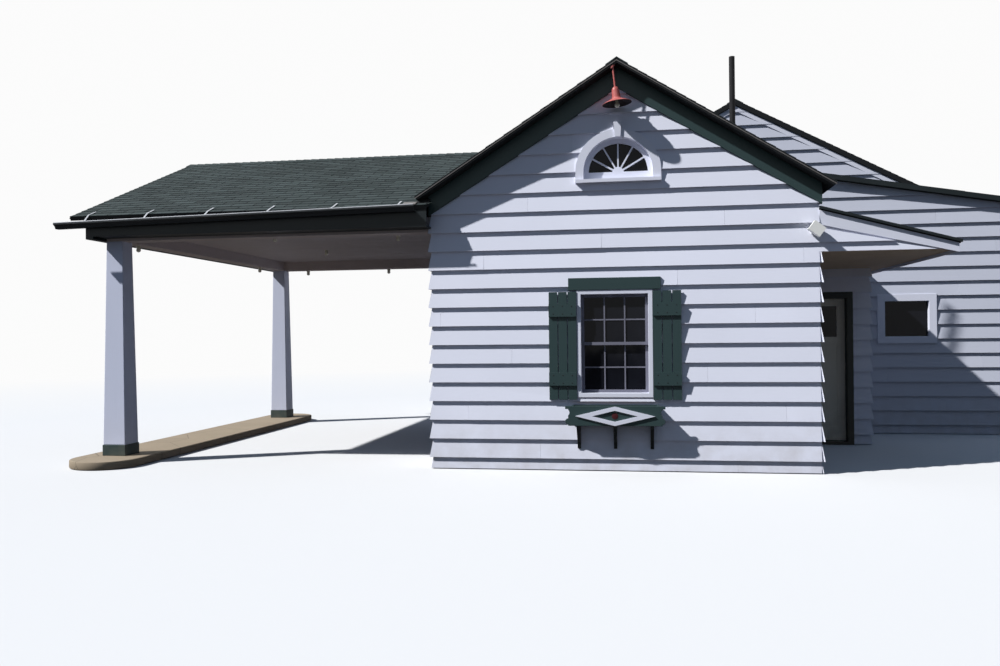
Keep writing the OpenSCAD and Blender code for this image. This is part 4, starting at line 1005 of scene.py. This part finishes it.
class STATION_OT_clapboards(StationOperator, bpy.types.Operator):
    """Clapboards on every outside wall"""

    bl_idname = "station.clapboards"
    bl_label = "Clapboards"

    def execute(self, context):
        s, b = survey(), sizes("boards")
        self.front(s, b)
        self.porch(s, b)
        self.left(s, b)
        self.wing(s, b)
        self.rear_gable(s)
        self.canopy_gable(s)
        return {"FINISHED"}

    def front(self, s, b):
        w, roofs, lip = sizes("windows"), sizes("roofs"), sizes("trim").porch_strip
        drop = (roofs.office_slab + roofs.frieze) / math.cos(roofs.office)
        eave = s.office_at(s.right) - drop
        porch_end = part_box("porch_infill")[1].x
        outlines = [[(s.left, b.foot), (s.right, b.foot), (s.right, eave), (0, s.office_at(0) - drop),
                     (s.left, eave)],
                    [(s.right, s.porch_ceiling), (porch_end, s.porch_ceiling),
                     (porch_end, s.porch_at(porch_end) - lip), (s.right, s.porch_at(s.right) - lip)]]
        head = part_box("window_head")
        openings = [
            upright(w.offset, w.width, w.foot, head[0].z + LAP),
            rectangle(head[0].x, head[0].z, head[1].x, head[1].z),
            self.fan_outline(*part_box("fan_casing"), w.key / 2),
            self.porch_edge(s),
        ]
        clapboards("front_clapboards", facing((0, s.front, 0), 0), outlines, openings, ("left",), 11)

    def fan_outline(self, low, high, key):
        """The outer edge of the fan window's casing, with its keystone."""
        radius = (high.x - low.x) / 2
        spring = low.z + sizes("windows").fan_foot
        steps = 32
        arc = [(radius * math.cos(i * math.pi / steps), spring + radius * math.sin(i * math.pi / steps))
               for i in range(steps + 1)]
        rising = [point for point in arc if point[0] > key]
        falling = [point for point in arc if point[0] < -key]
        return [(-radius, low.z), (radius, low.z), *rising, (key, high.z), (-key, high.z), *falling]

    def porch_edge(self, s):
        """Where the porch roof and its fascia run along the front, and a little beyond."""
        low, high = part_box("porch_fascia")
        depth, above, beyond = 0.24, 0.01, 0.1
        end = high.x + beyond
        return [(s.right, s.porch_at(s.right) - depth), (high.x, low.z), (end, low.z),
                (end, s.porch_at(end) + above), (s.right, s.porch_at(s.right) + above)]

    def porch(self, s, b):
        top = s.porch_ceiling
        casing_low, casing_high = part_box("door_frame")
        doorway = rectangle(casing_low.x, 0, casing_high.x, casing_high.z)
        clapboards("porch_left_clapboards", facing((s.right, 0, 0), 90),
                   [rectangle(s.front, b.foot, s.door_wall, top)], mitres=("left",), seed=21)
        clapboards("door_wall_clapboards", facing((0, s.door_wall, 0), 0),
                   [rectangle(s.right, b.foot, s.vestibule, top)], [doorway], ("right",), 22)
        clapboards("vestibule_clapboards", facing((s.vestibule, 0, 0), 90),
                   [rectangle(s.door_wall, b.foot, s.wing_front, top)], mitres=("left",), seed=23)
        over_porch, under_eave = 0.012, 0.055
        strip = rectangle(s.front, s.porch_top + over_porch, s.wing_front,
                          s.office_at(s.right) - under_eave)
        clapboards("eave_strip_clapboards", facing((s.right, 0, 0), 90), [strip], seed=24)

    def left(self, s, b):
        """Under the canopy and behind it, on the office's and the rear room's left wall."""
        w, over_beam = sizes("windows"), 0.3
        beams = [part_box(name) for name in ("beam_front", "beam_back")]
        openings = [rectangle(-high.y, low.z, -low.y, high.z + over_beam) for low, high in beams]
        openings += [upright(-y, w.width, w.foot, w.foot + w.height) for y in s.side_windows]
        canopy_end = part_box("canopy_gable")[1].y
        outlines = [rectangle(-s.rear_back, b.foot, -canopy_end, s.under_rear(s.left)),
                    rectangle(-canopy_end, b.foot, -s.front, s.ceiling - CLEAR)]
        clapboards("left_clapboards", facing((s.left, 0, 0), -90), outlines, openings,
                   ("left", "right"), 31)

    def wing(self, s, b):
        """The wing's walls, the back of the building and the cheek over the office roof."""
        w = sizes("windows")
        low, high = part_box("small_casings")
        window = upright(w.small_x, w.small_w, low.z, high.z)
        side, inner = s.under_wing(s.wing_right), s.under_wing(s.right)
        into = s.right - 1  # well inside the building
        porch_roof = [(into, s.porch_ceiling), (s.porch_tip, s.porch_ceiling),
                      (s.porch_tip, s.porch_at(s.porch_tip)), (into, s.porch_at(into))]
        outlines = [rectangle(s.vestibule, b.foot, s.wing_right, s.porch_ceiling),
                    [(s.right, s.porch_ceiling), (s.wing_right, s.porch_ceiling), (s.wing_right, side),
                     (s.right, inner)]]
        clapboards("wing_clapboards", facing((0, s.wing_front, 0), 0), outlines, [window, porch_roof],
                   ("right",), 41, "back_paint")
        clapboards("wing_right_clapboards", facing((s.wing_right, 0, 0), 90),
                   [rectangle(s.wing_front, b.foot, s.rear_back, side)],
                   self.small_windows(s.wing_front, s.rear_back), ("left", "right"), 42, "back_paint")
        outline = [(-s.wing_right, b.foot), (-s.left, b.foot), (-s.left, s.under_rear(s.left)),
                   (-s.rear_mid, s.under_rear(s.rear_mid)), (-s.break_x, s.under_rear(s.break_x)),
                   (-s.wing_right, side)]
        clapboards("back_clapboards", facing((0, s.rear_back, 0), 180), [outline],
                   self.small_windows(-s.left, -s.wing_right), ("left", "right"), 43, "back_paint")
        below_eave = 0.1
        cheek = rectangle(-s.back, s.office_at(s.right) - below_eave, -s.wing_front, inner)
        clapboards("cheek_clapboards", facing((s.right, 0, 0), -90), [cheek], seed=44,
                   paint="back_paint")

    def small_windows(self, start, end):
        """Openings for the two small windows of a wall, a quarter in from each of its ends."""
        low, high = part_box("small_casings")
        return [upright(start + (end - start) * share, sizes("windows").small_w, low.z, high.z)
                for share in (0.25, 0.75)]

    def rear_gable(self, s):
        """The gable over the office roof, with the frieze board along its rake."""
        t, plane = sizes("trim"), facing((0, s.back, 0), 0)
        meet = (s.office_ridge - s.under_rear(0)) / (s.fall["office"] + s.fall["rear"])
        boards_end, frieze_end = s.break_x - 0.12, s.break_x - 0.1
        outline = [(meet, s.office_at(meet)), (s.right, s.office_at(s.right)),
                   (s.right, s.wing_at(s.right)), (boards_end, s.wing_at(boards_end)),
                   (s.rear_mid, s.under_rear(s.rear_mid))]
        clapboards("rear_gable_clapboards", plane, [outline], seed=51, paint="back_paint")
        rake = [(x, s.under_rear(x)) for x in (meet, s.rear_mid, frieze_end)]
        settle(prisms("rear_frieze", bands(rake, t.rear_frieze), BACK, -t.rear_frieze_t), BUILDING,
               "white_paint", plane)

    def canopy_gable(self, s):
        near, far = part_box("beam_front")[0].y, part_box("beam_back")[1].y
        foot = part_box("beam_outer")[1].z
        outline = [(-far, foot), (-near, foot), (-near, s.under_canopy(near)),
                   (-s.canopy_mid, s.under_canopy(s.canopy_mid)), (-far, s.under_canopy(far))]
        clapboards("canopy_gable_clapboards", facing((s.gable_x, 0, 0), -90), [outline], seed=61)


class STATION_OT_shingles(StationOperator, bpy.types.Operator):
    """Shingles, roll roofing and ridge caps"""

    bl_idname = "station.shingles"
    bl_label = "Roofing"

    def execute(self, context):
        s, roofs = survey(), sizes("roofs")
        self.office(s, roofs)
        self.canopy(s, roofs)
        self.rear(s, roofs)
        self.porch_and_wing(s, roofs)
        self.caps(s, roofs)
        return {"FINISHED"}

    def office(self, s, roofs):
        up = lambda x: (abs(s.eave_x) - abs(x)) / math.cos(roofs.office)
        pitch = math.degrees(roofs.office)
        eave_z = s.office_at(s.eave_x)
        outline = rectangle(-s.back, 0, -s.rake_y, up(0))
        shingles("office_shingles_left", facing((s.eave_x, 0, eave_z), -90, pitch), outline, 1)
        wing_cut = up(s.right)
        outline = [(s.rake_y, 0), (s.wing_front, 0), (s.wing_front, wing_cut), (s.back, wing_cut),
                   (s.back, up(0)), (s.rake_y, up(0))]
        shingles("office_shingles_right", facing((-s.eave_x, 0, eave_z), 90, pitch), outline, 2)

    def canopy(self, s, roofs):
        up = lambda y: (s.canopy_mid - s.canopy_eave - abs(y - s.canopy_mid)) / math.cos(roofs.canopy)
        pitch = math.degrees(roofs.canopy)
        eave_z = s.canopy_at(s.canopy_eave)
        on_office = lambda y: (s.canopy_at(y) - s.office_ridge) / s.fall["office"]
        on_rear = lambda y: (s.canopy_at(y) - s.rear_ridge) / s.fall["rear"] + s.rear_mid
        low_y = s.canopy_mid - (s.canopy_ridge - s.office_at(s.eave_x)) / s.fall["canopy"]
        lip = s.rake_y - 0.006  # a sliver in front of the office roof's rake
        outline = [(s.verge_x, 0), (s.left, 0), (s.left, up(lip)), (s.eave_x, up(lip)),
                   (s.eave_x, up(low_y)), (on_office(s.canopy_mid), up(s.canopy_mid)),
                   (s.verge_x, up(s.canopy_mid))]
        shingles("canopy_shingles_front", facing((0, s.canopy_eave, eave_z), 0, pitch), outline, 3)
        outline = [(-x, up(y)) for x, y in (
            (on_office(s.canopy_mid), s.canopy_mid), (on_office(s.back), s.back), (on_rear(s.back), s.back),
            (on_rear(s.far_eave), s.far_eave), (s.verge_x, s.far_eave), (s.verge_x, s.canopy_mid))]
        shingles("canopy_shingles_back", facing((0, s.far_eave, eave_z), 180, pitch), outline, 4)

    def rear(self, s, roofs):
        pitch = math.degrees(roofs.rear)
        up = lambda x: (x - s.eave_x) / math.cos(roofs.rear)
        meet = (s.office_ridge - s.rear_at(0)) / (s.fall["office"] + s.fall["rear"])
        outline = [(-s.rear_end, 0), (-s.back, 0), (-s.back, up(meet)), (-s.rear_rake, up(meet)),
                   (-s.rear_rake, up(s.rear_mid)), (-s.rear_end, up(s.rear_mid))]
        shingles("rear_shingles_left", facing((s.eave_x, 0, s.rear_at(s.eave_x)), -90, pitch), outline, 5)
        outline = rectangle(s.rear_rake, 0, s.rear_end, (s.break_x - s.rear_mid) / math.cos(roofs.rear))
        shingles("rear_shingles_right", facing((s.break_x, 0, s.rear_at(s.break_x)), 90, pitch), outline, 6)

    def porch_and_wing(self, s, roofs):
        k = sizes("shingles")
        run = (s.porch_tip - s.right) / math.cos(roofs.porch)
        shingles("porch_shingles", facing((s.porch_tip, 0, s.porch_at(s.porch_tip)), 90,
                                          math.degrees(roofs.porch)),
                 rectangle(s.porch_edge, 0, s.wing_front, run - k.flashing), 7)
        up = lambda x: (s.wing_tip - x) / math.cos(roofs.wing)
        outline = [(s.wing_edge, 0), (s.rear_end, 0), (s.rear_end, up(s.break_x)), (s.back, up(s.break_x)),
                   (s.back, up(s.right)), (s.wing_edge, up(s.right))]
        obj = lay_courses("wing_roll_roofing", [outline], [], "roll_roofing", exposure=k.strip,
                          pitch=k.strip_run, joint=0.002, butt=k.strip_t, tip=k.strip_t / 3,
                          stagger=0.37, foot=0.0, uneven=0.2, seed=8)
        settle(obj, BUILDING, matrix=facing(
            (s.wing_tip, 0, s.wing_at(s.wing_tip)), 90, math.degrees(roofs.wing)))

    def caps(self, s, roofs):
        runs = {
            "office_ridge_caps": ((0, s.rake_y, s.office_ridge), s.back - s.rake_y, 0, roofs.office),
            "canopy_ridge_caps": ((s.verge_x, s.canopy_mid, s.canopy_ridge),
                                  -s.verge_x + (s.canopy_ridge - s.office_ridge) / s.fall["office"],
                                  -90, roofs.canopy),
            "rear_ridge_caps": ((s.rear_mid, s.rear_rake, s.rear_ridge), s.rear_end - s.rear_rake,
                                0, roofs.rear),
        }
        k = sizes("shingles")
        for name, (start, run, turn, pitch) in runs.items():
            cap = self.cap(k, pitch)
            obj = row_pattern().grow(name, Piece=cap, Count=int(run / k.exposure), Start=(0, 0, 0),
                                     Step=(0, k.exposure, 0), Uneven=0.0, Seed=9,
                                     Material=finish("shingle"))
            discard(cap)
            settle(obj, BUILDING,
                   matrix=Matrix.Translation(start) @ Matrix.Rotation(math.radians(turn), 4, "Z"))

    def cap(self, k, pitch):
        """One cap, folded over a ridge that runs along Y, thick at its near end."""
        wide, drop = k.cap_w * math.cos(pitch), k.cap_w * math.sin(pitch)
        fold = 0.15  # the share of the width that is rounded over the ridge
        ends = []
        # The near end rides on the cap before it, so it lies higher above the ridge than the far one.
        for lift in (0.014, 0.007):
            top = [(-wide, -drop + lift), (-wide * fold, -drop * fold + lift + 0.002), (0, lift + 0.003),
                   (wide * fold, -drop * fold + lift + 0.002), (wide, -drop + lift)]
            low = [(wide, -drop + 0.002), (0, -0.004), (-wide, -drop + 0.002)]
            ends.append(top + low)
        shape = bmesh.new()
        add_prism(shape, ends[0], 0, k.exposure - 0.0005, ends[1])
        return from_bmesh("cap", shape)


class STATION_OT_windows(StationOperator, bpy.types.Operator):
    """Bars in the sash windows"""

    bl_idname = "station.windows"
    bl_label = "Window bars"

    def execute(self, context):
        s, w = survey(), sizes("windows")
        glass_w = w.width - 2 * w.inset
        middle = w.foot + w.height / 2
        glass_h = w.height / 2 - w.inset - w.stile / 2
        sashes = {"upper": (w.upper_y, middle + w.stile / 2 + glass_h / 2),
                  "lower": (w.lower_y, middle - w.stile / 2 - glass_h / 2)}
        planes = {"front": facing((w.offset, s.front, 0), 0)}
        for name, y in zip(("office_left", "rear_left"), s.side_windows):
            planes[name] = facing((s.left, y, 0), -90)
        for name, plane in planes.items():
            for part, (y, z) in sashes.items():
                obj = bar_pattern().grow(f"{name}_{part}_bars", Width=glass_w, Height=glass_h,
                                         Columns=w.columns, Rows=w.rows, Bar=w.bar, Depth=w.bar_t * 2,
                                         Material=finish("sash_paint"))
                settle(obj, BUILDING, matrix=plane @ Matrix.Translation((0, y, z)))
        return {"FINISHED"}


class STATION_OT_metalwork(StationOperator, bpy.types.Operator):
    """Drip edges, gutter beads, straps and flashings"""

    bl_idname = "station.metalwork"
    bl_label = "Metal trim"

    def execute(self, context):
        s, t, roofs = survey(), sizes("trim"), sizes("roofs")
        rake = [(x, s.office_at(x)) for x in (s.eave_x, 0, -s.eave_x)]
        self.drip("office_drip", facing((0, s.rake_y, 0), 0), rake, roofs.office, t)
        porch = [(x, s.porch_at(x)) for x in (s.right + 0.002, s.porch_tip)]
        settle(prisms("porch_rake_strip", bands(porch, t.porch_strip), BACK, -t.porch_proud), BUILDING,
               "dark_paint", facing((0, s.porch_edge, 0), 0))
        verge = [(-y, s.canopy_at(y)) for y in (s.far_eave, s.canopy_mid, s.canopy_eave)]
        self.drip("verge_drip", facing((s.verge_x, 0, 0), -90), verge, roofs.canopy, t)
        self.gutter("front", s, t, lambda y: y)
        self.gutter("back", s, t, lambda y: 2 * s.canopy_mid - y)
        return {"FINISHED"}

    def drip(self, name, plane, line, pitch, t):
        """A strip along a gable's edge, below the shingles."""
        lower, upper = (t.drip_in + t.drip_h) / math.cos(pitch), t.drip_in / math.cos(pitch)
        settle(prisms(name, bands(line, lower, upper), BACK, -t.drip_t), BUILDING, "zinc",
               plane)

    def gutter(self, name, s, t, side):
        """The bead on one gutter's rim, its straps over the shingles and its flashing. The gutter's own
        place along Y goes through side, which mirrors it for the far one."""
        low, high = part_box("gutters")
        from_end, over_edge = 0.005, 0.012
        rim = lambda x: high.z - (high.x - x) * math.tan(t.fall)
        top = lambda y: s.canopy_at(y) + t.lift
        y = side(low.y + t.bead_r * 0.6)
        bead = rod(f"gutter_bead_{name}", (low.x + from_end, y, rim(low.x)),
                   (high.x - from_end, y, high.z), t.bead_r)
        # The bead's pale metal is partly painted highlight along the lit top of the rim.
        settle(bead, BUILDING, "strap_metal")
        straps = bmesh.new()
        x = s.verge_x + t.strap_first
        while x < high.x:
            path = [(side(low.y + t.bead_r), rim(x) + t.bead_r * 0.5)]
            path += [(side(y), top(y)) for y in (s.canopy_eave + over_edge, s.canopy_eave + t.strap_reach)]
            for outline in bands(path, 0, -t.strap_t):
                add_prism(straps, outline, -x - t.strap_w / 2, -x + t.strap_w / 2)
            x += t.strap_gap
        settle(from_bmesh(f"gutter_straps_{name}", straps), BUILDING, "strap_metal",
               facing((0, 0, 0), 90))
        edge = [(side(y), top(y)) for y in (s.canopy_eave - t.flash_t, s.canopy_eave + t.flash_in)]
        patch = prisms(f"gutter_flashing_{name}", bands(edge, 0, -t.flash_t), -high.x + t.flash_w, -high.x)
        settle(patch, BUILDING, "zinc", facing((0, 0, 0), 90))


# Rows of nails in a shutter's battens, as shares of its height.
NAIL_ROWS = (0.155, 0.225, 0.795, 0.865)

# Lumps in the soil: their height, how fast they follow each other, and where in the noise they lie.
LUMPS = ((0.012, 0.4, 3.0), (0.006, 1.3, 8.0))


class STATION_OT_window_dressing(StationOperator, bpy.types.Operator):
    """Nails in the shutters, the flower box's soil and the button of its ornament"""

    bl_idname = "station.window_dressing"
    bl_label = "Window dressing"

    def execute(self, context):
        t, w = sizes("trim"), sizes("windows")
        self.nails(t, w)
        self.soil(t)
        low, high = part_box("box_ornament")
        r = t.button_r
        button = turned("ornament_button", ((r, 0), (r, r * 0.1), (r * 0.7, r * 0.16), (0, r * 0.2)),
                        ((low.x + high.x) / 2, high.y, (low.z + high.z) / 2))
        settle(button, BUILDING, "button_paint")
        return {"FINISHED"}

    def nails(self, t, w):
        low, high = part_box("shutters")
        gap = 0.002
        width = w.offset - w.width / 2 - gap - low.x
        column = bmesh.new()
        for share in NAIL_ROWS:
            place = Matrix.Translation((0, -t.nail_r * 0.2, share * (high.z - low.z)))
            bmesh.ops.create_cone(column, cap_ends=True, segments=8, radius1=t.nail_r,
                                  radius2=t.nail_r * 0.6, depth=t.nail_r * 0.5,
                                  matrix=place @ Matrix.Rotation(math.pi / 2, 4, "X"))
        column = from_bmesh("nail_column", column)
        for name, x in (("left", low.x), ("right", high.x - width)):
            nails = row_pattern().grow(f"{name}_shutter_nails", Piece=column, Count=3,
                                       Start=(x + width / 6, low.y, low.z), Step=(width / 3, 0, 0),
                                       Uneven=0.0, Seed=4, Material=finish("pipe_black"))
            settle(nails, BUILDING)
        discard(column)

    def soil(self, t):
        """Lumpy soil that fills the trough of the flower box."""
        low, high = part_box("flower_box")
        x0, x1 = low.x + t.box_end, high.x - t.box_end
        y0, y1 = low.y + t.box_board, high.y - t.box_board
        top, below = high.z - t.soil, 0.04
        shape = bmesh.new()
        columns, rows = 48, 10
        grid = [[shape.verts.new((x0 + (x1 - x0) * i / columns, y0 + (y1 - y0) * j / rows,
                                  sum((tall * noise.noise((i * rate, j * rate, level))
                                       for tall, rate, level in LUMPS), top)))
                 for j in range(rows + 1)] for i in range(columns + 1)]
        for i in range(columns):
            for j in range(rows):
                shape.faces.new((grid[i][j], grid[i + 1][j], grid[i + 1][j + 1], grid[i][j + 1]))
        skirt = bmesh.ops.extrude_face_region(shape, geom=list(shape.faces))
        for vertex in (item for item in skirt["geom"] if isinstance(item, bmesh.types.BMVert)):
            vertex.co.z = top - below
        settle(from_bmesh("flower_box_soil", shape), BUILDING, "soil")


class STATION_OT_ceilings(StationOperator, bpy.types.Operator):
    """Boards under the canopy and the porch"""

    bl_idname = "station.ceilings"
    bl_label = "Ceilings"

    def execute(self, context):
        s, b = survey(), sizes("boards")
        low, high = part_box("canopy_ceiling")
        self.boards("canopy_ceiling_boards", rectangle(low.x, -high.y, s.left, -low.y), s.ceiling,
                    "ceiling_paint", b)
        low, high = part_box("porch_ceiling")
        self.boards("porch_ceiling_boards",
                    rectangle(low.x + b.butt, -s.door_wall + b.butt, high.x, -low.y),
                    s.porch_ceiling, "porch_boards", b)
        return {"FINISHED"}

    def boards(self, name, outline, z, slot, b):
        obj = lay_courses(name, [outline], [], slot, exposure=b.ceiling_w, pitch=b.run, joint=b.joint,
                          butt=b.ceiling_t, tip=b.ceiling_t, stagger=STAGGER, foot=outline[0][1],
                          seam=0.004, uneven=0.08, seed=5)
        settle(obj, BUILDING, matrix=facing((0, 0, z), 0, 180))


class StationPanel(bpy.types.Panel):
    """Lists the sizes and colours, and the pieces to make"""

    bl_idname = "STATION_PT_station"
    bl_label = "Filling station"
    bl_space_type = "VIEW_3D"
    bl_region_type = "UI"
    bl_category = "Station"

    def draw(self, context):
        for operator in OPERATORS:
            self.layout.operator(operator.bl_idname)
        for name, group in GROUPS.items():
            box = self.layout.box()
            box.label(text=group.__doc__)
            for key in group.__annotations__:
                box.prop(getattr(context.scene, name), key)


OPERATORS = [STATION_OT_stage, STATION_OT_finishes, STATION_OT_eased_edges, STATION_OT_clapboards,
             STATION_OT_shingles, STATION_OT_windows, STATION_OT_metalwork, STATION_OT_window_dressing,
             STATION_OT_ceilings]


def register():
    for cls in (*GROUPS.values(), *OPERATORS, StationPanel):
        bpy.utils.register_class(cls)
    for name, group in GROUPS.items():
        setattr(bpy.types.Scene, name, PointerProperty(type=group))


def unregister():
    for name in GROUPS:
        delattr(bpy.types.Scene, name)
    for cls in reversed((*GROUPS.values(), *OPERATORS, StationPanel)):
        bpy.utils.unregister_class(cls)


def main():
    register()
    for operator in OPERATORS:
        group, call = operator.bl_idname.split(".")
        getattr(getattr(bpy.ops, group), call)()


if __name__ == "__main__":
    main()
